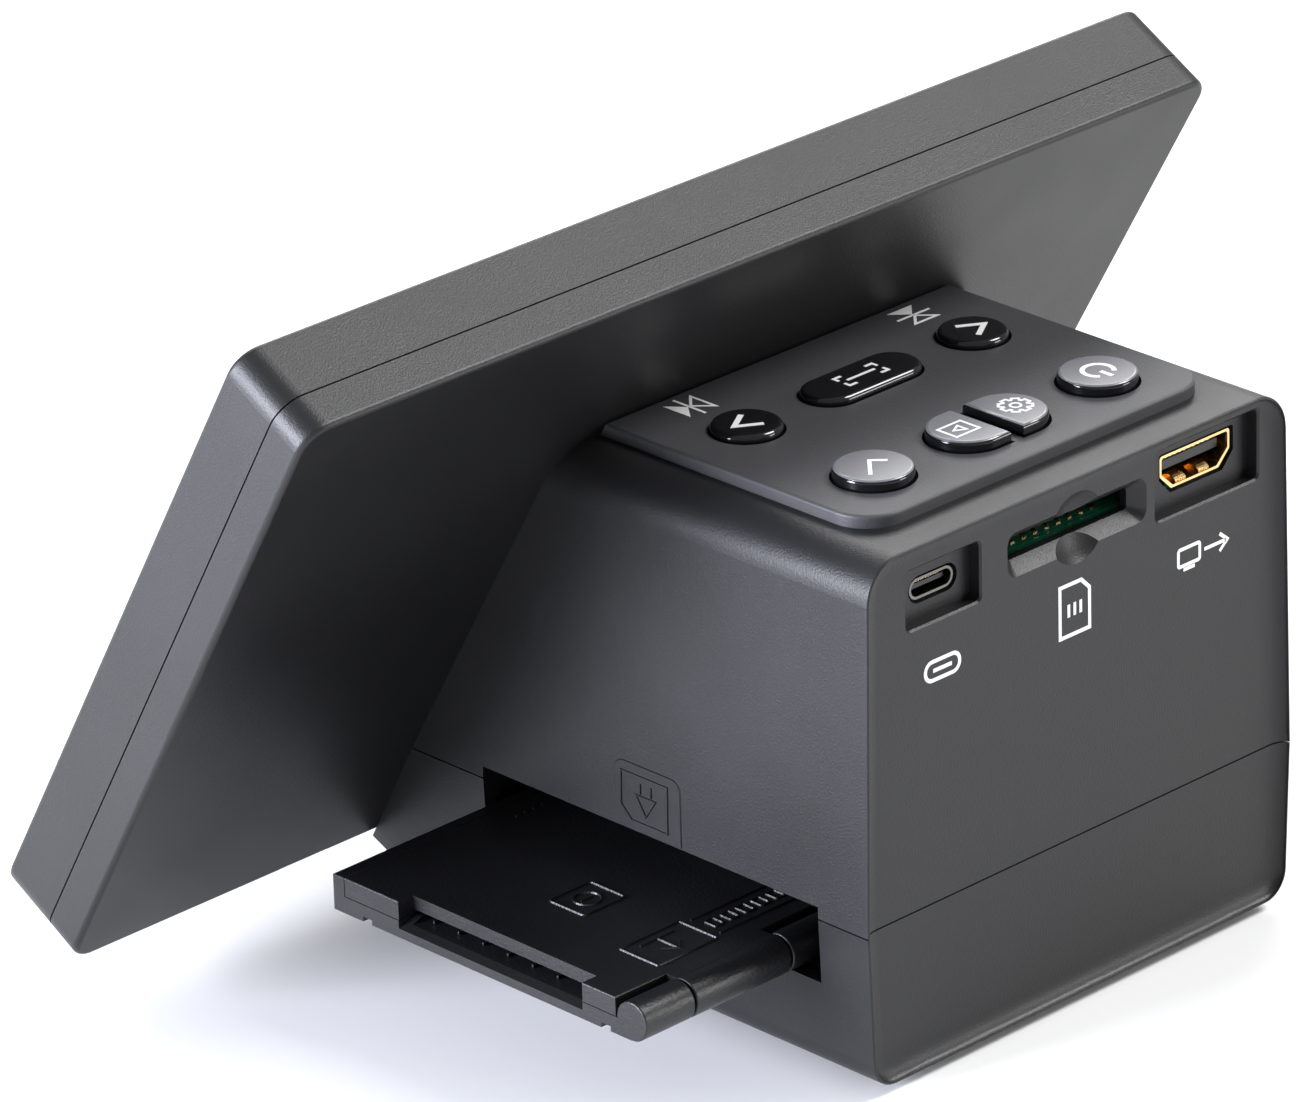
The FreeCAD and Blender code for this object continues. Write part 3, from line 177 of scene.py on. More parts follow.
def brushedGroup():
    # drawing lines of sheet metal, stretched along X
    group, ins, outs = newGroup("brushedMetal", [
        ("Vector", "NodeSocketVector", None), ("Lines", "NodeSocketFloat", 900.0)],
        [("Height", "NodeSocketFloat"), ("Shade", "NodeSocketFloat")])
    stretch = addNode(group, "ShaderNodeVectorMath", {"operation": "MULTIPLY"})
    stretch.inputs[1].default_value = (0.06, 1, 1)
    lines = addNode(group, "ShaderNodeTexNoise", None, {"Detail": 3.0, "Roughness": 0.7})
    stain = addNode(group, "ShaderNodeTexNoise", None, {"Scale": 180.0, "Detail": 2.0})
    link = group.links.new
    link(ins.outputs["Vector"], stretch.inputs[0])
    link(stretch.outputs["Vector"], lines.inputs["Vector"])
    link(ins.outputs["Lines"], lines.inputs["Scale"])
    link(ins.outputs["Vector"], stain.inputs["Vector"])
    link(lines.outputs["Fac"], outs.inputs["Height"])
    link(stain.outputs["Fac"], outs.inputs["Shade"])
    return group


def copperTraceGroup():
    # copper tracks under a solder mask: straight runs with a few vias
    group, ins, outs = newGroup("copperTrace", [("Vector", "NodeSocketVector", None)],
                                [("Track", "NodeSocketFloat"), ("Via", "NodeSocketFloat")])
    link = group.links.new
    runs = addNode(group, "ShaderNodeTexBrick", {"offset": 0.35, "offset_frequency": 3},
                   {"Scale": 190.0, "Mortar Size": 0.06, "Mortar Smooth": 0.2, "Brick Width": 1.4,
                    "Row Height": 0.19, "Color1": (0, 0, 0, 1), "Color2": (0, 0, 0, 1),
                    "Mortar": (1, 1, 1, 1)})
    dots = addNode(group, "ShaderNodeTexVoronoi", {"feature": "F1"}, {"Scale": 210.0})
    ring = addNode(group, "ShaderNodeMath", {"operation": "LESS_THAN"})
    ring.inputs[1].default_value = 0.13
    link(ins.outputs["Vector"], runs.inputs["Vector"])
    link(ins.outputs["Vector"], dots.inputs["Vector"])
    link(dots.outputs["Distance"], ring.inputs[0])
    link(runs.outputs["Color"], outs.inputs["Track"])
    link(ring.outputs["Value"], outs.inputs["Via"])
    return group


def newFinish(name, colour, roughness):
    material = bpy.data.materials.new(name)
    material.use_nodes = True
    shader = material.node_tree.nodes["Principled BSDF"]
    shader.inputs["Base Color"].default_value = (*colour, 1)
    shader.inputs["Roughness"].default_value = roughness
    return material, shader


def placeGroup(tree, group, values=None):
    node = tree.nodes.new("ShaderNodeGroup")
    node.node_tree = group
    for key, value in (values or {}).items():
        node.inputs[key].default_value = value
    spot = tree.nodes.new("ShaderNodeTexCoord")
    tree.links.new(spot.outputs["Object"], node.inputs["Vector"])
    return node


def mixShade(tree, shader, factor, dark, light):
    mix = addNode(tree, "ShaderNodeMix", {"data_type": "RGBA"})
    mix.inputs["A"].default_value = (*dark, 1)
    mix.inputs["B"].default_value = (*light, 1)
    tree.links.new(factor, mix.inputs["Factor"])
    tree.links.new(mix.outputs["Result"], shader.inputs["Base Color"])


def spreadRoughness(tree, shader, factor, low, high):
    spread = addNode(tree, "ShaderNodeMapRange", None,
                     {"From Min": 0.3, "From Max": 0.7, "To Min": low, "To Max": high})
    tree.links.new(factor, spread.inputs["Value"])
    tree.links.new(spread.outputs["Result"], shader.inputs["Roughness"])


def raiseBump(tree, shader, height, depth):
    bump = addNode(tree, "ShaderNodeBump", None, {"Strength": 1.0, "Distance": depth * mm})
    tree.links.new(height, bump.inputs["Height"])
    tree.links.new(bump.outputs["Normal"], shader.inputs["Normal"])


# dark and light ends of the colour, low and high roughness, grains per metre, and the depth of
# the grain in millimetres
mouldedFinishes = {
    "casePlastic": {"dark": (0.008, 0.008, 0.009), "light": (0.012, 0.012, 0.013),
                    "rough": (0.37, 0.44), "grain": 3300.0, "depth": 0.055, "specular": 0.37},
    "keypadPlastic": {"dark": (0.04, 0.04, 0.044), "light": (0.048, 0.048, 0.053),
                      "rough": (0.46, 0.54), "grain": 3000.0, "depth": 0.05, "specular": 0.5},
    "trayPlastic": {"dark": (0.004, 0.004, 0.005), "light": (0.007, 0.007, 0.008),
                    "rough": (0.34, 0.44), "grain": 1900.0, "depth": 0.08, "specular": 0.48},
    "opticPlastic": {"dark": (0.008, 0.008, 0.008), "light": (0.012, 0.012, 0.012),
                     "rough": (0.75, 0.9), "grain": 2200.0, "depth": 0.05, "specular": 0.3},
    "footRubber": {"dark": (0.012, 0.012, 0.012), "light": (0.02, 0.02, 0.02),
                   "rough": (0.7, 0.85), "grain": 1800.0, "depth": 0.05, "specular": 0.35},
    "switchPlastic": {"dark": (0.014, 0.014, 0.014), "light": (0.02, 0.02, 0.02),
                      "rough": (0.4, 0.5), "grain": 2600.0, "depth": 0.02, "specular": 0.5},
    "contactPlastic": {"dark": (0.006, 0.006, 0.007), "light": (0.01, 0.01, 0.011),
                       "rough": (0.3, 0.4), "grain": 2600.0, "depth": 0.01, "specular": 0.5},
    "reflectorWhite": {"dark": (0.78, 0.78, 0.77), "light": (0.86, 0.86, 0.85),
                       "rough": (0.5, 0.6), "grain": 2000.0, "depth": 0.02, "specular": 0.5},
    "diffuserWhite": {"dark": (0.82, 0.82, 0.8), "light": (0.88, 0.88, 0.86),
                      "rough": (0.28, 0.36), "grain": 2600.0, "depth": 0.01, "specular": 0.5},
    # lighter grey for the high key tops: painted reflection of the bright backdrop in the glossy
    # black caps
    "keyTopPaintedReflection": {"dark": (0.12, 0.12, 0.135), "light": (0.15, 0.15, 0.165),
                  "rough": (0.2, 0.27), "grain": 4200.0, "depth": 0.004, "specular": 0.9},
    "printWhite": {"dark": (0.74, 0.74, 0.74), "light": (0.82, 0.82, 0.82),
                   "rough": (0.42, 0.52), "grain": 5200.0, "depth": 0.006, "specular": 0.5},
}


def makeMoulded(name, grain):
    sizes = mouldedFinishes[name]
    material, shader = newFinish(name, sizes["dark"], sizes["rough"][0])
    tree = material.node_tree
    texture = placeGroup(tree, grain, {"Grain": sizes["grain"], "Mottle": 45.0})
    mixShade(tree, shader, texture.outputs["Shade"], sizes["dark"], sizes["light"])
    spreadRoughness(tree, shader, texture.outputs["Shade"], *sizes["rough"])
    raiseBump(tree, shader, texture.outputs["Height"], sizes["depth"])
    shader.inputs["Specular IOR Level"].default_value = sizes["specular"]
    return material


def makeKeyGloss(grain):
    # polished black caps: a clear hard skin with faint finger marks
    material, shader = newFinish("keyGloss", (0.005, 0.005, 0.006), 0.08)
    tree = material.node_tree
    texture = placeGroup(tree, grain, {"Grain": 900.0, "Mottle": 260.0})
    mixShade(tree, shader, texture.outputs["Shade"], (0.004, 0.004, 0.005), (0.007, 0.007, 0.008))
    spreadRoughness(tree, shader, texture.outputs["Shade"], 0.06, 0.13)
    raiseBump(tree, shader, texture.outputs["Height"], 0.002)
    shader.inputs["IOR"].default_value = 1.52
    return material


metalFinishes = {
    "socketSteel": {"dark": (0.5, 0.5, 0.52), "light": (0.64, 0.64, 0.66), "rough": (0.2, 0.34)},
    "socketGold": {"dark": (0.72, 0.47, 0.2), "light": (0.9, 0.66, 0.34), "rough": (0.16, 0.28)},
    "screwSteel": {"dark": (0.38, 0.38, 0.4), "light": (0.55, 0.55, 0.57), "rough": (0.28, 0.42)},
    "tinplate": {"dark": (0.52, 0.52, 0.54), "light": (0.66, 0.66, 0.68), "rough": (0.3, 0.44)},
    "darkSteel": {"dark": (0.13, 0.12, 0.11), "light": (0.2, 0.19, 0.17), "rough": (0.22, 0.34)},
}


def makeMetal(name, brushed):
    sizes = metalFinishes[name]
    material, shader = newFinish(name, sizes["light"], sizes["rough"][0])
    tree = material.node_tree
    texture = placeGroup(tree, brushed, {"Lines": 2600.0})
    mixShade(tree, shader, texture.outputs["Shade"], sizes["dark"], sizes["light"])
    spreadRoughness(tree, shader, texture.outputs["Height"], *sizes["rough"])
    raiseBump(tree, shader, texture.outputs["Height"], 0.003)
    shader.inputs["Metallic"].default_value = 1.0
    return material


def makeCircuitBoard(traces):
    material, shader = newFinish("solderMask", (0.0, 0.11, 0.05), 0.3)
    tree = material.node_tree
    texture = placeGroup(tree, traces)
    mask = addNode(tree, "ShaderNodeMix", {"data_type": "RGBA"})
    mask.inputs["A"].default_value = (0.003, 0.1, 0.05, 1)
    mask.inputs["B"].default_value = (0.012, 0.2, 0.1, 1)
    pads = addNode(tree, "ShaderNodeMix", {"data_type": "RGBA"})
    pads.inputs["B"].default_value = (0.55, 0.5, 0.36, 1)
    link = tree.links.new
    link(texture.outputs["Track"], mask.inputs["Factor"])
    link(mask.outputs["Result"], pads.inputs["A"])
    link(texture.outputs["Via"], pads.inputs["Factor"])
    link(pads.outputs["Result"], shader.inputs["Base Color"])
    raiseBump(tree, shader, texture.outputs["Track"], 0.03)
    return material


def makeCoverGlass():
    material, shader = newFinish("coverGlass", (0.96, 0.97, 0.98), 0.02)
    shader.inputs["Transmission Weight"].default_value = 1.0
    shader.inputs["IOR"].default_value = 1.5
    return material


def makeLensGlass():
    material, shader = newFinish("coatedLens", (0.86, 0.93, 0.9), 0.0)
    shader.inputs["Transmission Weight"].default_value = 1.0
    shader.inputs["IOR"].default_value = 1.62
    shader.inputs["Coat Weight"].default_value = 0.6
    shader.inputs["Coat Tint"].default_value = (0.5, 0.8, 0.62, 1)
    return material


def makeDisplay(grain):
    # dark polariser over a panel that is switched off
    material, shader = newFinish("displayFilm", (0.006, 0.007, 0.009), 0.16)
    tree = material.node_tree
    texture = placeGroup(tree, grain, {"Grain": 6000.0, "Mottle": 22.0})
    mixShade(tree, shader, texture.outputs["Shade"], (0.005, 0.006, 0.008), (0.009, 0.01, 0.013))
    spreadRoughness(tree, shader, texture.outputs["Shade"], 0.14, 0.2)
    return material


def makeAmberFilm(grain):
    material, shader = newFinish("amberFilm", (0.42, 0.18, 0.03), 0.24)
    tree = material.node_tree
    texture = placeGroup(tree, grain, {"Grain": 900.0, "Mottle": 120.0})
    mixShade(tree, shader, texture.outputs["Shade"], (0.34, 0.13, 0.02), (0.5, 0.24, 0.05))
    raiseBump(tree, shader, texture.outputs["Height"], 0.01)
    return material


def makeLedPackage(grain):
    material, shader = newFinish("ledPackage", (0.9, 0.78, 0.32), 0.35)
    tree = material.node_tree
    texture = placeGroup(tree, grain, {"Grain": 3000.0, "Mottle": 500.0})
    mixShade(tree, shader, texture.outputs["Shade"], (0.84, 0.68, 0.2), (0.95, 0.86, 0.45))
    return material


def makeSensorPackage(grain):
    material, shader = newFinish("sensorPackage", (0.03, 0.02, 0.05), 0.12)
    tree = material.node_tree
    texture = placeGroup(tree, grain, {"Grain": 5000.0, "Mottle": 300.0})
    mixShade(tree, shader, texture.outputs["Shade"], (0.02, 0.02, 0.05), (0.06, 0.03, 0.08))
    shader.inputs["Coat Weight"].default_value = 1.0
    return material


def makeFinishes():
    grain = sparkGrainGroup()
    brushed = brushedGroup()
    made = {name: makeMoulded(name, grain) for name in mouldedFinishes}
    made.update({name: makeMetal(name, brushed) for name in metalFinishes})
    made["keyGloss"] = makeKeyGloss(grain)
    made["solderMask"] = makeCircuitBoard(copperTraceGroup())
    made["coverGlass"] = makeCoverGlass()
    made["lensGlass"] = makeLensGlass()
    made["displayFilm"] = makeDisplay(grain)
    made["amberFilm"] = makeAmberFilm(grain)
    made["ledPackage"] = makeLedPackage(grain)
    made["sensorPackage"] = makeSensorPackage(grain)
    return made


# which of the finishes each of the part's material slots gets
slotFinish = {
    "case_plastic": "casePlastic", "keypad_plastic": "keypadPlastic", "button_gloss": "keyGloss",
    "tray_plastic": "trayPlastic", "foot_rubber": "footRubber", "screen_glass": "coverGlass",
    "display": "displayFilm", "tinplate": "tinplate", "circuit_board": "solderMask",
    "switch_plastic": "switchPlastic", "socket_steel": "socketSteel", "socket_gold": "socketGold",
    "contact_plastic": "contactPlastic", "optic_plastic": "opticPlastic",
    "light_box_white": "reflectorWhite", "diffuser_white": "diffuserWhite",
    "lens_glass": "lensGlass", "led_package": "ledPackage", "sensor_package": "sensorPackage",
    "screw_steel": "screwSteel", "ribbon_film": "amberFilm",
}
partFinish = {"data_socket": "darkSteel"}    # parts that differ from the rest of their slot


def dressParts():
    for part in frame["record"]["subparts"]:
        finish = finishes[partFinish.get(part["node"], slotFinish[part["material_slot"]])]
        for slot in nodes[part["node"]].material_slots:
            slot.material = finish


def arcPoints(radius, start, end, steps, centre=(0, 0)):
    turns = [radians(start + (end - start) * i / steps) for i in range(steps + 1)]
    return [(centre[0] + radius * cos(turn), centre[1] + radius * sin(turn)) for turn in turns]


def roundedBox(width, height, radius, centre=(0, 0), steps=5):
    corners = ((1, 1, 0), (-1, 1, 90), (-1, -1, 180), (1, -1, 270))
    points = []
    for sideX, sideY, start in corners:
        middle = (centre[0] + sideX * (width / 2 - radius),
                  centre[1] + sideY * (height / 2 - radius))
        points += arcPoints(radius, start, start + 90, steps, middle)
    return points


toothShape = {"foot": 0.32, "tip": 0.19, "spread": 1.35}    # half widths, as shares of the pitch


def gearPoints(teeth, outer, root):
    points = []
    pitch = 2 * pi / teeth
    foot, tip = toothShape["foot"], toothShape["tip"]
    for tooth in range(teeth):
        for turn, radius in ((-foot, root), (-tip, outer), (tip, outer), (foot, root)):
            angle = tooth * pitch + turn * pitch * toothShape["spread"]
            points.append((radius * cos(angle), radius * sin(angle)))
    return points


def fillOutline(shape, points, slope=0.0):
    # patch with a foot at 0 and a top at 1; the top is drawn in by slope all round
    middle = sum((Vector(point) for point in points), Vector((0, 0))) / len(points)
    foot = [shape.verts.new((x, y, 0)) for x, y in points]
    top = []
    for point in points:
        away = Vector(point) - middle
        spot = middle + away * (1 - slope / away.length)
        top.append(shape.verts.new((spot.x, spot.y, 1)))
    shape.faces.new(foot[::-1])
    shape.faces.new(top)
    count = len(points)
    for i in range(count):
        after = (i + 1) % count
        shape.faces.new((foot[i], foot[after], top[after], top[i]))


sharpestMitre = 0.35     # keeps the corners of a band from running out to a spike


def strokeOutline(shape, points, width, closed=False, crest=1.0):
    # band along the points, mitred at its corners; its top is crest times as wide as its foot
    line = [Vector(point) for point in points]
    count = len(line)
    rings = []
    for i, point in enumerate(line):
        before = point - line[i - 1] if closed or i > 0 else line[1] - point
        after = line[(i + 1) % count] - point if closed or i < count - 1 else before
        before = before.normalized()
        after = after.normalized()
        mitre = Vector((-before.y - after.y, before.x + after.x)).normalized()
        square = Vector((-before.y, before.x))
        reach = mitre * width / 2 / max(mitre.dot(square), sharpestMitre)
        ring = []
        for side, share, level in ((1, 1, 0), (-1, 1, 0), (-1, crest, 1), (1, crest, 1)):
            spot = point + reach * side * share
            ring.append(shape.verts.new((spot.x, spot.y, level)))
        rings.append(ring)
    for i in range(count if closed else count - 1):
        ring, following = rings[i], rings[(i + 1) % count]
        for j in range(4):
            shape.faces.new((ring[j], ring[(j + 1) % 4], following[(j + 1) % 4], following[j]))
    if not closed:
        shape.faces.new(rings[0][::-1])
        shape.faces.new(rings[-1])


# lines of the symbols, in millimetres from the middle of each
symbolLines = {
    "chevronTip": 2.5,
    "chevronEnds": (-1.2, 2.35),
    "tick": ((-2.6, 0.1), (-0.75, -1.75), (2.8, 1.95)),
    "playTriangle": ((-0.75, -0.95), (1.0, 0), (-0.75, 0.95)),
    "screenFoot": ((-4.8, -1.75), (-2.4, -1.75)),
    "arrowShaft": ((-0.3, 0.1), (4.4, 0.1)),
    "arrowHead": ((3.0, 1.5), (4.7, 0.1), (3.0, -1.3)),
    "plugTongue": ((-1.9, 0), (1.9, 0)),
    "emblemCard": ((-5.3, 3.5), (4.3, 3.5), (4.3, -3.9), (-3.1, -3.9), (-5.3, -1.9)),
    "emblemArrow": ((-2.2, 0.4), (1.8, 0.4), (-0.2, -2.6)),
    "frameSlit": ((-1.2, 0), (1.2, 0)),
    "upShaft": ((0, -2.2), (0, 1.8)),
    "upHead": ((-1.9, 0.3), (0, 2.2), (1.9, 0.3)),
    "upBase": ((-3.4, -2.4), (3.4, -2.4)),
}
# width, height and corner radius of the boxes in symbols, then the middle where it isn't 0
symbolBoxes = {
    "screen": (4.6, 2.7, 0.35, (-3.6, 0.25)),
    "filmFrame": (8.4, 7.4, 0.6),
    "upwards": (12.0, 8.0, 0.3),
    "filmHole": (1.7, 2.4, 0.3),
}
# the two triangles and the line between them, for turning over and for turning across
flipLines = {
    True: {"solid": ((-2.6, -2.9), (2.6, -2.9), (0, -0.25)),
           "hollow": ((-2.3, 2.7), (2.3, 2.7), (0, 0.3)),
           "axis": ((-3.4, 0), (3.4, 0))},
    False: {"solid": ((2.6, -2.9), (2.6, 2.9), (0.25, 0)),
            "hollow": ((-2.8, -2.6), (-2.8, 2.6), (-0.3, 0)),
            "axis": ((0, -3.4), (0, 3.4))},
}


def drawChevron(outline, look):
    side = look["pointing"]
    back, half = symbolLines["chevronEnds"]
    points = ((back * side, half), (symbolLines["chevronTip"] * side, 0), (back * side, -half))
    strokeOutline(outline, points, look["stroke"])


def drawScan(outline, look):
    # corners of a viewfinder with a scanning line through them
    width, height, arm = look["width"] / 2, look["height"] / 2, look["arm"]
    for sideX in (-1, 1):
        for sideY in (-1, 1):
            corner = (sideX * width, sideY * height)
            along = (corner[0] - sideX * arm, corner[1])
            down = (corner[0], corner[1] - sideY * arm * look["armShare"])
            strokeOutline(outline, (along, corner, down), look["stroke"])
    line = width * look["lineShare"]
    strokeOutline(outline, ((-line, 0), (line, 0)), look["stroke"])


def drawTick(outline, look):
    strokeOutline(outline, symbolLines["tick"], look["stroke"])


def drawPower(outline, look):
    # an open ring, with a bar through its gap
    radius = look["radius"]
    strokeOutline(outline, arcPoints(radius, *look["arc"]), look["stroke"])
    strokeOutline(outline, ((0, look["barFoot"]), (0, radius + look["barPast"])), look["stroke"])


def drawPlayback(outline, look):
    width, height = look["width"] / 2, look["height"] / 2
    strokeOutline(outline, ((-width, -height), (width, -height), (width, height), (-width, height)),
                  look["stroke"], True)
    strokeOutline(outline, symbolLines["playTriangle"], look["stroke"] * look["fine"], True)


def drawGear(outline, look):
    radius = look["radius"]
    teeth = gearPoints(look["teeth"], radius, radius * look["rootShare"])
    strokeOutline(outline, teeth, look["stroke"], True)
    strokeOutline(outline, arcPoints(radius * look["holeShare"], *look["arc"]),
                  look["stroke"] * look["fine"], True)


def drawFlip(outline, look):
    # two triangles meeting on the line that the picture is turned about
    lines = flipLines[look["turned"]]
    fillOutline(outline, lines["solid"])
    strokeOutline(outline, lines["hollow"], look["stroke"], True)
    strokeOutline(outline, lines["axis"], look["stroke"])


def drawScreenOut(outline, look):
    # a picture on a screen, sent out to the right
    strokeOutline(outline, roundedBox(*symbolBoxes["screen"]), look["stroke"], True)
    for line in ("screenFoot", "arrowShaft", "arrowHead"):
        strokeOutline(outline, symbolLines[line], look["stroke"])


def drawPlug(outline, look):
    # the face of a flat socket, with its tongue
    box = roundedBox(look["width"], look["height"], look["corner"], (0, 0), 8)
    strokeOutline(outline, box, look["stroke"], True)
    strokeOutline(outline, symbolLines["plugTongue"], look["stroke"])


def drawCard(outline, look):
    # a memory card with one corner cut and its contacts showing
    width, height, cut = look["width"] / 2, look["height"] / 2, look["cut"]
    strokeOutline(outline, ((-width, -height), (width, -height), (width, height - cut),
                            (width - cut, height), (-width, height)), look["stroke"], True)
    low, high = look["bar"]
    for step in (-1, 0, 1):
        x = step * look["barPitch"]
        strokeOutline(outline, ((x, low), (x, high)), look["stroke"] * look["fine"])


def drawEmblem(outline, look):
    # pad under the raised card, running down to the tray slot
    pad = [(-emblem["padHalf"], emblem["padFoot"]), (emblem["padHalf"], emblem["padFoot"])]
    for side, start in ((1, 0), (-1, 90)):
        corner = (side * (emblem["padHalf"] - emblem["padCorner"]), emblem["padShoulder"])
        pad += arcPoints(emblem["padCorner"], start, start + 90, 6, corner)
    fillOutline(outline, pad, emblem["padSlope"])


def drawEmblemCard(outline, look):
    stroke, crest = look["stroke"], look["crest"]
    strokeOutline(outline, symbolLines["emblemCard"], stroke, True, crest)
    strokeOutline(outline, symbolLines["emblemArrow"], stroke * emblem["fine"], True, crest)
    low, high = emblem["stems"]
    for x in emblem["stemsAt"]:
        strokeOutline(outline, ((x, low), (x, high)), stroke * emblem["fine"], False, crest)


spotArc = (2.1, 0, 345, 23)     # radius, first and last angle, steps


def drawFilmFrame(outline, look):
    # a picture frame with a round spot in it
    stroke, crest = look["stroke"], look["crest"]
    strokeOutline(outline, roundedBox(*symbolBoxes["filmFrame"]), stroke, True, crest)
    strokeOutline(outline, arcPoints(*spotArc), stroke, True, crest)
    strokeOutline(outline, symbolLines["frameSlit"], stroke, False, crest)


def drawUpwards(outline, look):
    # boxed arrow: which face of the film goes up
    stroke, crest = look["stroke"], look["crest"]
    strokeOutline(outline, roundedBox(*symbolBoxes["upwards"]), stroke, True, crest)
    for line in ("upShaft", "upHead", "upBase"):
        strokeOutline(outline, symbolLines[line], stroke, False, crest)


filmStrip = {"holes": 5, "pitch": 3.1, "first": -6.2, "half": 8.0, "edge": 3.0, "fine": 0.8}


def drawSprockets(outline, look):
    # a strip of film: two lines with its holes between them
    stroke, crest = look["stroke"], look["crest"]
    half = filmStrip["half"]
    for y in (-filmStrip["edge"], filmStrip["edge"]):
        strokeOutline(outline, ((-half, y), (half, y)), stroke, False, crest)
    for step in range(filmStrip["holes"]):
        spot = (filmStrip["first"] + step * filmStrip["pitch"], 0)
        hole = roundedBox(*symbolBoxes["filmHole"], spot)
        strokeOutline(outline, hole, stroke * filmStrip["fine"], True, crest)


sizeBars = {"count": 4, "pitch": 1.8, "first": -3.0, "length": 1.1}


def drawBars(outline, look):
    for step in range(sizeBars["count"]):
        start = sizeBars["first"] + step * sizeBars["pitch"]
        strokeOutline(outline, ((start, 0), (start + sizeBars["length"], 0)), look["stroke"], False,
                      look["crest"])


surfaceTrees = {}


def surfaceOf(node):
    if node not in surfaceTrees:
        mesh = nodes[node].data
        surfaceTrees[node] = BVHTree.FromPolygons([vertex.co for vertex in mesh.vertices],
                                                  [face.vertices for face in mesh.polygons])
    return surfaceTrees[node]


# directions of a symbol's right, its top and its face, for each side of the object it is put on
facings = {
    "top": (Vector((1, 0, 0)), Vector((0, 1, 0)), Vector((0, 0, 1))),
    "back": (Vector((-1, 0, 0)), Vector((0, 0, 1)), Vector((0, 1, 0))),
    "traySide": (Vector((0, 1, 0)), Vector((0, 0, 1)), Vector((1, 0, 0))),
}
castReach = 12 * mm      # how far outside the surface the search for it starts


def pressOn(name, draw, look, node, facing, centre, proud, sunk, finish, body):
    # puts a symbol on a part's surface, proud of it and sunk into it
    shape = bmesh.new()
    draw(shape, look)
    right, top, face = facings[facing]
    surface = surfaceOf(node)
    for vertex in shape.verts:
        level = proud if vertex.co.z > 0.5 else -sunk
        spot = centre + (right * vertex.co.x + top * vertex.co.y) * mm
        found = surface.ray_cast(spot + face * castReach, -face)
        ground = found[0] if found[0] is not None else spot
        vertex.co = ground + face * level * mm
    bmesh.ops.recalc_face_normals(shape, faces=shape.faces[:])
    piece = finishPiece(name, shape, finish)
    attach(piece, body)


def finishPiece(name, shape, finish):
    mesh = bpy.data.meshes.new(name)
    shape.to_mesh(mesh)
    shape.free()
    mesh.materials.append(finishes[finish])
    piece = bpy.data.objects.new(name, mesh)
    bpy.context.scene.collection.objects.link(piece)
    return piece


def middleOf(node):
    low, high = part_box(node)
    return (low + high) / 2


# symbol: how it is drawn, its sizes, the part it is on, and its place from the middle of that part
keySymbols = {
    "nextChevron": (drawChevron, {"pointing": 1, "stroke": 0.85}, "key_next", (0, 0)),
    "previousChevron": (drawChevron, {"pointing": -1, "stroke": 0.85}, "key_previous", (0, 0)),
    "scanFinder": (drawScan, {"width": 8.0, "height": 3.4, "arm": 1.5, "armShare": 0.75,
                              "lineShare": 0.72, "stroke": 0.5}, "key_scan", (0, 0)),
    "okTick": (drawTick, {"stroke": 0.6}, "key_ok", (0, 0.2)),
    "powerRing": (drawPower, {"radius": 2.35, "arc": (130, 410, 28), "barFoot": 0.5,
                              "barPast": 0.55, "stroke": 0.75}, "key_power", (0, 0.1)),
    "playbackFrame": (drawPlayback, {"width": 4.7, "height": 3.9, "stroke": 0.42, "fine": 0.85},
                      "key_playback", (0.1, 0)),
    "settingsGear": (drawGear, {"teeth": 8, "radius": 2.55, "rootShare": 0.74, "holeShare": 0.32,
                                "arc": (0, 342, 19), "stroke": 0.42, "fine": 0.9},
                     "key_settings", (-0.1, 0.1)),
}
plateSymbols = {
    "flipAcross": (drawFlip, {"turned": False, "stroke": 0.45}, "key_next", (-0.3, -12.1)),
    "flipOver": (drawFlip, {"turned": True, "stroke": 0.45}, "key_previous", (0, -12.2)),
}
backSymbols = {
    "screenOutSign": (drawScreenOut, {"stroke": 0.55}, "video_socket", (0.4, -13.3)),
    "plugSign": (drawPlug, {"width": 7.0, "height": 2.9, "corner": 1.4, "stroke": 0.6},
                 "data_socket", (0.5, -12.2)),
    "cardSign": (drawCard, {"width": 6.2, "height": 8.0, "cut": 1.7, "bar": (-1.1, 0.9),
                            "barPitch": 1.25, "stroke": 0.6, "fine": 0.9}, "card_socket",
                 (0.75, -12.0)),
}
raisedLook = {"stroke": 0.55, "crest": 0.35}
traySymbols = {
    "filmFrameMark": (drawFilmFrame, (56.8, 0.5)),
    "upwardsMark": (drawUpwards, (59.0, 19.6)),
    "stripMark": (drawSprockets, (43.6, 19.6)),
    "sizeMark": (drawBars, (41.3, -27.2)),
}
printing = {"proud": 0.05, "sunk": 0.05}
emblem = {
    "padProud": 0.2,
    "proud": 0.42,
    "sunk": 0.2,
    "along": 1.3,            # middle of the emblem, towards the sockets
    "height": 33.9,
    "padHalf": 7.2,
    "padFoot": -5.6,
    "padShoulder": 3.2,
    "padCorner": 2.0,
    "padSlope": 0.45,
    "stems": (0.7, 2.4),
    "stemsAt": (-1.3, 0.9),
    "fine": 0.9,             # of the thinner lines, against the others
}
trayMark = {"proud": 0.24, "sunk": 0.2}


def printSymbols():
    for name, (draw, look, key, (x, y)) in keySymbols.items():
        centre = middleOf(key) + Vector((x, y, 0)) * mm
        pressOn(name, draw, look, key, "top", centre, printing["proud"], printing["sunk"],
                "printWhite", key.replace("key_", "button_"))
    for name, (draw, look, key, (x, y)) in plateSymbols.items():
        centre = middleOf(key) + Vector((x, y, 0)) * mm
        pressOn(name, draw, look, "keypad_plate", "top", centre, printing["proud"],
                printing["sunk"], "printWhite", "scanner_body")
    for name, (draw, look, socket, (x, z)) in backSymbols.items():
        centre = middleOf(socket)
        centre = Vector((centre.x + x * mm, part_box("upper_shell")[1].y, centre.z + z * mm))
        pressOn(name, draw, look, "upper_shell", "back", centre, printing["proud"],
                printing["sunk"], "printWhite", "scanner_body")


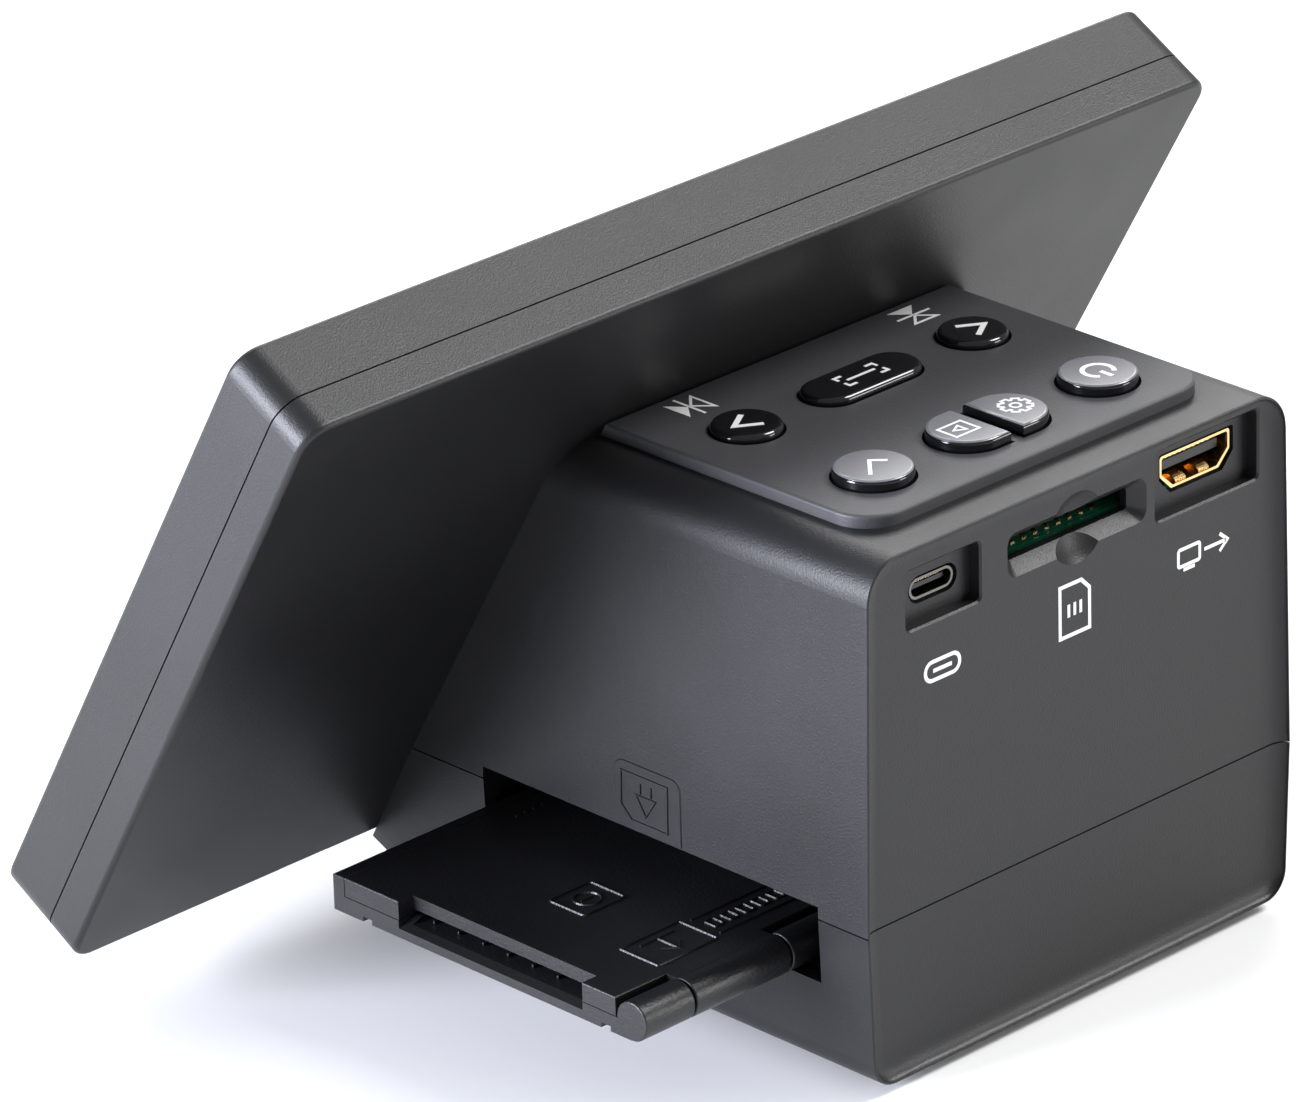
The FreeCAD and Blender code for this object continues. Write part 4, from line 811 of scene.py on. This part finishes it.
def raiseMarks():
    centre = Vector((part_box("upper_shell")[1].x, emblem["along"] * mm, emblem["height"] * mm))
    for name, draw, proud in (("emblemPad", drawEmblem, emblem["padProud"]),
                              ("emblemCard", drawEmblemCard, emblem["proud"])):
        pressOn(name, draw, raisedLook, "upper_shell", "traySide", centre, proud, emblem["sunk"],
                "casePlastic", "scanner_body")
    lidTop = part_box("tray_lid")[1].z
    for name, (draw, (x, y)) in traySymbols.items():
        pressOn(name, draw, raisedLook, "tray_lid", "top", Vector((x * mm, y * mm, lidTop)),
                trayMark["proud"], trayMark["sunk"], "trayPlastic", "film_tray")


# grey gloss skins on the tops of the four high keys: a painted reflection, a lighter colour
# standing in for the bright backdrop mirrored in the glossy black caps
reflectionSkins = {
    "keys": ("key_ok", "key_power", "key_playback", "key_settings"),
    "reach": 0.2,        # how far down the rounded edge a skin goes
    "proud": 0.02,
    "sunk": 0.04,
}


def addReflectionSkins():
    for key in reflectionSkins["keys"]:
        skin = bmesh.new()
        skin.from_mesh(nodes[key].data)
        bmesh.ops.remove_doubles(skin, verts=skin.verts[:], dist=1e-7)
        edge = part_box(key)[1].z - reflectionSkins["reach"] * mm
        bmesh.ops.bisect_plane(skin, geom=skin.verts[:] + skin.edges[:] + skin.faces[:],
                               plane_co=(0, 0, edge), plane_no=(0, 0, 1), clear_inner=True)
        skin.normal_update()
        outwards = {vertex.co.to_tuple(8): vertex.normal.copy() for vertex in skin.verts}
        grown = bmesh.ops.extrude_face_region(skin, geom=skin.faces[:])
        raised = {item for item in grown["geom"] if isinstance(item, bmesh.types.BMVert)}
        for vertex in skin.verts:
            level = reflectionSkins["proud"] if vertex in raised else -reflectionSkins["sunk"]
            vertex.co += outwards[vertex.co.to_tuple(8)] * level * mm
        bmesh.ops.recalc_face_normals(skin, faces=skin.faces[:])
        # the skin lays the painted reflection colour over the black cap
        face = finishPiece(key.replace("key_", "") + "Face", skin, "keyTopPaintedReflection")
        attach(face, key.replace("key_", "button_"))


def gridTree():
    # copies of one piece on a grid, all in one finish
    tree = bpy.data.node_groups.new("repeatOnGrid", "GeometryNodeTree")
    sockets = (("Geometry", "NodeSocketGeometry"), ("Piece", "NodeSocketObject"),
               ("Columns", "NodeSocketInt"), ("Rows", "NodeSocketInt"),
               ("Step Across", "NodeSocketFloat"), ("Step Along", "NodeSocketFloat"),
               ("Finish", "NodeSocketMaterial"))
    for label, kind in sockets:
        tree.interface.new_socket(name=label, in_out="INPUT", socket_type=kind)
    tree.interface.new_socket(name="Geometry", in_out="OUTPUT", socket_type="NodeSocketGeometry")
    ins = tree.nodes.new("NodeGroupInput")
    outs = tree.nodes.new("NodeGroupOutput")
    grid = tree.nodes.new("GeometryNodeMeshGrid")
    link = tree.links.new
    for count, step, size, vertices in (("Columns", "Step Across", "Size X", "Vertices X"),
                                        ("Rows", "Step Along", "Size Y", "Vertices Y")):
        less = addNode(tree, "ShaderNodeMath", {"operation": "SUBTRACT"})
        less.inputs[1].default_value = 1
        spread = addNode(tree, "ShaderNodeMath", {"operation": "MULTIPLY"})
        link(ins.outputs[count], less.inputs[0])
        link(less.outputs["Value"], spread.inputs[0])
        link(ins.outputs[step], spread.inputs[1])
        link(spread.outputs["Value"], grid.inputs[size])
        link(ins.outputs[count], grid.inputs[vertices])
    source = tree.nodes.new("GeometryNodeObjectInfo")
    copies = tree.nodes.new("GeometryNodeInstanceOnPoints")
    real = tree.nodes.new("GeometryNodeRealizeInstances")
    paint = tree.nodes.new("GeometryNodeSetMaterial")
    link(ins.outputs["Piece"], source.inputs["Object"])
    link(grid.outputs["Mesh"], copies.inputs["Points"])
    link(source.outputs["Geometry"], copies.inputs["Instance"])
    link(copies.outputs["Instances"], real.inputs["Geometry"])
    link(real.outputs["Geometry"], paint.inputs["Geometry"])
    link(ins.outputs["Finish"], paint.inputs["Material"])
    link(paint.outputs["Geometry"], outs.inputs["Geometry"])
    return tree


def repeatPiece(name, shape, columns, rows, across, along, place, finish, body):
    # one mesh of the shape repeated on a grid, then moved to its place
    source = finishPiece(name + "One", shape, finish)
    host = bpy.data.objects.new(name, bpy.data.meshes.new(name + "Host"))
    bpy.context.scene.collection.objects.link(host)
    modifier = host.modifiers.new("repeat", "NODES")
    modifier.node_group = repeatTree
    wanted = {"Piece": source, "Columns": columns, "Rows": rows, "Step Across": across * mm,
              "Step Along": along * mm, "Finish": finishes[finish]}
    for item in repeatTree.interface.items_tree:
        if item.in_out == "INPUT" and item.name in wanted:
            modifier[item.identifier] = wanted[item.name]
    graph = bpy.context.evaluated_depsgraph_get()
    mesh = bpy.data.meshes.new_from_object(host.evaluated_get(graph))
    host.modifiers.remove(modifier)
    bpy.data.objects.remove(source)
    mesh.transform(place)
    host.data = mesh
    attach(host, body)


def placeAt(centre, right=(1, 0, 0), top=(0, 1, 0)):
    right = Vector(right)
    top = Vector(top)
    face = right.cross(top)
    columns = (right, top, face, Vector(centre))
    return Matrix([[column[row] for column in columns] for row in range(3)] + [[0, 0, 0, 1]])


def softBlock(width, length, height, edge):
    # block that stands at its middle, with its edges taken off
    block = bmesh.new()
    bmesh.ops.create_cube(block, size=1)
    bmesh.ops.scale(block, vec=(width * mm, length * mm, height * mm), verts=block.verts[:])
    bmesh.ops.translate(block, vec=(0, 0, height / 2 * mm), verts=block.verts[:])
    bmesh.ops.bevel(block, geom=block.edges[:], offset=edge * mm, segments=2, profile=0.5,
                    affect="EDGES")
    return block


def springLeaf(width, length, rise, thickness):
    # thin contact spring along Y, with a hump near its tip
    leaf = bmesh.new()
    steps = 12
    flat = 0.35      # share of the leaf before the hump
    rings = []
    for i in range(steps + 1):
        share = i / steps
        hump = rise * max(0.0, sin(pi * (share - flat) / (1 - flat))) if share > flat else 0.0
        y = length * (share - 0.5)
        rings.append([leaf.verts.new((x * mm, y * mm, (hump + z) * mm))
                      for x, z in ((-width / 2, 0), (width / 2, 0), (width / 2, thickness),
                                   (-width / 2, thickness))])
    for low, high in zip(rings, rings[1:]):
        for i in range(4):
            leaf.faces.new((low[i], low[(i + 1) % 4], high[(i + 1) % 4], high[i]))
    leaf.faces.new(rings[0][::-1])
    leaf.faces.new(rings[-1])
    bmesh.ops.recalc_face_normals(leaf, faces=leaf.faces[:])
    return leaf


# strips on the tongues of the sockets; setback is behind the end of the tongue
tongueContacts = {
    "data": {"count": 12, "pitch": 0.5, "width": 0.26, "length": 3.4, "thickness": 0.05,
             "edge": 0.015, "setback": 0.35},
    "video": {"count": 10, "pitch": 1.0, "width": 0.5, "length": 5.6, "thickness": 0.08,
              "edge": 0.02, "setback": 0.4},
}
videoSprings = {"count": 2, "pitch": 5.0, "width": 2.2, "length": 4.6, "rise": 0.75,
                "thickness": 0.2, "setback": 0.5, "above": 0.38}
cardSprings = {"count": 9, "pitch": 2.4, "width": 0.8, "length": 2.6, "rise": 0.5,
               "thickness": 0.12, "past": 1.0}


def addLeaves(name, sizes, spot):
    leaf = springLeaf(sizes["width"], sizes["length"], sizes["rise"], sizes["thickness"])
    repeatPiece(name, leaf, sizes["count"], 1, sizes["pitch"], 1, placeAt(spot), "socketGold",
                "scanner_body")


def addContacts():
    for socket, sizes in tongueContacts.items():
        low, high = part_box(socket + "_tongue")
        y = high.y - (sizes["length"] / 2 + sizes["setback"]) * mm
        for side, level, turned in (("Above", high.z, 1), ("Below", low.z, -1)):
            strip = softBlock(sizes["width"], sizes["length"], sizes["thickness"], sizes["edge"])
            spot = placeAt(((low.x + high.x) / 2, y, level), (turned, 0, 0))
            repeatPiece(socket + "Contacts" + side, strip, sizes["count"], 1, sizes["pitch"], 1,
                        spot, "socketGold", "scanner_body")
    low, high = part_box("video_socket")
    addLeaves("videoSprings", videoSprings,
              ((low.x + high.x) / 2,
               high.y - (videoSprings["length"] / 2 + videoSprings["setback"]) * mm,
               low.z + videoSprings["above"] * mm))
    low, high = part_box("card_socket")
    addLeaves("cardSprings", cardSprings,
              ((low.x + high.x) / 2, high.y + cardSprings["past"] * mm, low.z))


mouthRibs = {
    "count": 7,
    "pitch": 5.2,
    "width": 0.35,
    "length": 2.2,
    "height": 0.5,
    "edge": 0.08,
    "end": 4.6,           # from the outer end of the tray
    "lidThickness": 3.0,
    "drop": 1.0,          # foot of a rib, below the underside of the lid
}


def addMouthRibs():
    # small ribs that keep the film flat where it enters the tray
    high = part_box("tray_lid")[1]
    foot = high.z - (mouthRibs["lidThickness"] + mouthRibs["drop"]) * mm
    rib = softBlock(mouthRibs["length"], mouthRibs["width"], mouthRibs["height"],
                    mouthRibs["edge"])
    spot = placeAt((high.x - mouthRibs["end"] * mm, 0, foot))
    repeatPiece("mouthRibs", rib, 1, mouthRibs["count"], 1, mouthRibs["pitch"], spot, "trayPlastic",
                "film_tray")


chipLook = {
    "edge": 0.12,
    "legSpan": 0.86,        # of the row of legs, against the side of the package
    "legWidth": 0.375,      # against a leg's share of the package's other side
    "legReach": 1.8,        # past the package, both sides together
    "legThickness": 0.22,
    "legEdge": 0.04,
}
# name, board, side of it, centre, body across and along, legs a side, height
chips = (
    ("pictureChip", "main_board", -1, (-14.0, 12.0), 14.0, 14.0, 24, 1.2),
    ("memoryChip", "main_board", -1, (-26.0, 26.0), 12.0, 8.0, 12, 1.0),
    ("powerChip", "main_board", -1, (26.0, 26.0), 5.0, 4.0, 4, 1.2),
    ("sensorChip", "sensor_board", 1, (-8.0, 0.0), 6.0, 6.0, 6, 0.9),
)


def addChips():
    for name, board, side, (x, y), across, along, legs, height in chips:
        low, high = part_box(board)
        level = high.z if side > 0 else low.z
        place = placeAt((x * mm, y * mm, level), (side, 0, 0))
        package = softBlock(across, along, height, chipLook["edge"])
        bmesh.ops.transform(package, matrix=place, verts=package.verts[:])
        body = finishPiece(name, package, "switchPlastic")
        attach(body, "scanner_body")
        leg = softBlock(along * chipLook["legWidth"] / legs, along + chipLook["legReach"],
                        chipLook["legThickness"], chipLook["legEdge"])
        repeatPiece(name + "Legs", leg, legs, 1, across * chipLook["legSpan"] / legs, 1, place,
                    "socketSteel", "scanner_body")


# name, board, side of it, centre, columns, rows, steps, block, finish, slot
passives = (
    ("filterCapacitors", "main_board", -1, (4.0, 26.0), 6, 2, (2.2, 3.4), (1.2, 2.0, 1.1),
     "ledPackage", "led_package"),
    ("driverResistors", "main_board", -1, (-14.0, 0.0), 8, 2, (1.8, 2.4), (0.8, 1.6, 0.5),
     "switchPlastic", "switch_plastic"),
    ("keypadResistors", "keypad_board", -1, (0.0, 21.5), 5, 1, (3.2, 1), (0.8, 1.6, 0.5),
     "switchPlastic", "switch_plastic"),
    ("sensorCapacitors", "sensor_board", 1, (7.0, 0.0), 3, 4, (2.4, 3.0), (1.0, 1.8, 0.8),
     "ledPackage", "led_package"),
)
passiveEdge = 0.1


def addPassives():
    for name, board, side, (x, y), columns, rows, (across, along), size, finish, slot in passives:
        low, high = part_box(board)
        level = high.z if side > 0 else low.z
        place = placeAt((x * mm, y * mm, level), (side, 0, 0))
        block = softBlock(*size, passiveEdge)
        repeatPiece(name, block, columns, rows, across, along, place, finish, "scanner_body")


screenLook = {
    "tilt": 30.0,            # degrees from upright
    "edge": 0.35,            # bare glass outside the printed border
    "borderSide": 11.5,      # width of the printed border
    "borderEnd": 11.0,
    "corner": 2.0,
    "pictureCorner": 0.6,
    "thickness": 0.06,
    "depth": 0.12,           # above the back face of the glass
}


def addGlassBorder():
    # black print behind the cover glass, round the picture
    tilt = radians(screenLook["tilt"])
    low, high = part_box("screen_glass")
    middle = (low + high) / 2
    face = Vector((0, -cos(tilt), sin(tilt)))
    up = Vector((0, sin(tilt), cos(tilt)))
    corners = [vertex.co - middle for vertex in nodes["screen_glass"].data.vertices]
    halfWidth = max(corner.x for corner in corners) / mm
    halfLength = max(corner.dot(up) for corner in corners) / mm
    halfThick = max(corner.dot(face) for corner in corners) / mm
    ring = bmesh.new()
    outer = roundedBox(2 * (halfWidth - screenLook["edge"]), 2 * (halfLength - screenLook["edge"]),
                       screenLook["corner"], (0, 0), 8)
    inner = roundedBox(2 * (halfWidth - screenLook["borderSide"]),
                       2 * (halfLength - screenLook["borderEnd"]),
                       screenLook["pictureCorner"], (0, 0), 8)
    outside = [ring.verts.new((x * mm, y * mm, 0)) for x, y in outer]
    inside = [ring.verts.new((x * mm, y * mm, 0)) for x, y in inner]
    count = len(outside)
    for i in range(count):
        after = (i + 1) % count
        ring.faces.new((outside[i], outside[after], inside[after], inside[i]))
    grown = bmesh.ops.extrude_face_region(ring, geom=ring.faces[:])
    raised = [item for item in grown["geom"] if isinstance(item, bmesh.types.BMVert)]
    bmesh.ops.translate(ring, vec=(0, 0, screenLook["thickness"] * mm), verts=raised)
    back = middle - face * (halfThick - screenLook["depth"]) * mm
    bmesh.ops.transform(ring, matrix=placeAt(back, (1, 0, 0), up), verts=ring.verts[:])
    bmesh.ops.recalc_face_normals(ring, faces=ring.faces[:])
    border = finishPiece("glassBorder", ring, "contactPlastic")
    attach(border, "scanner_body")


print("building finishes")
finishes = makeFinishes()
dressParts()
aimCamera()
placeLights()
layFloor()
print("printing symbols")
printSymbols()
raiseMarks()
addReflectionSkins()
print("adding contacts, ribs and board parts")
repeatTree = gridTree()
addContacts()
addMouthRibs()
addChips()
addPassives()
addGlassBorder()
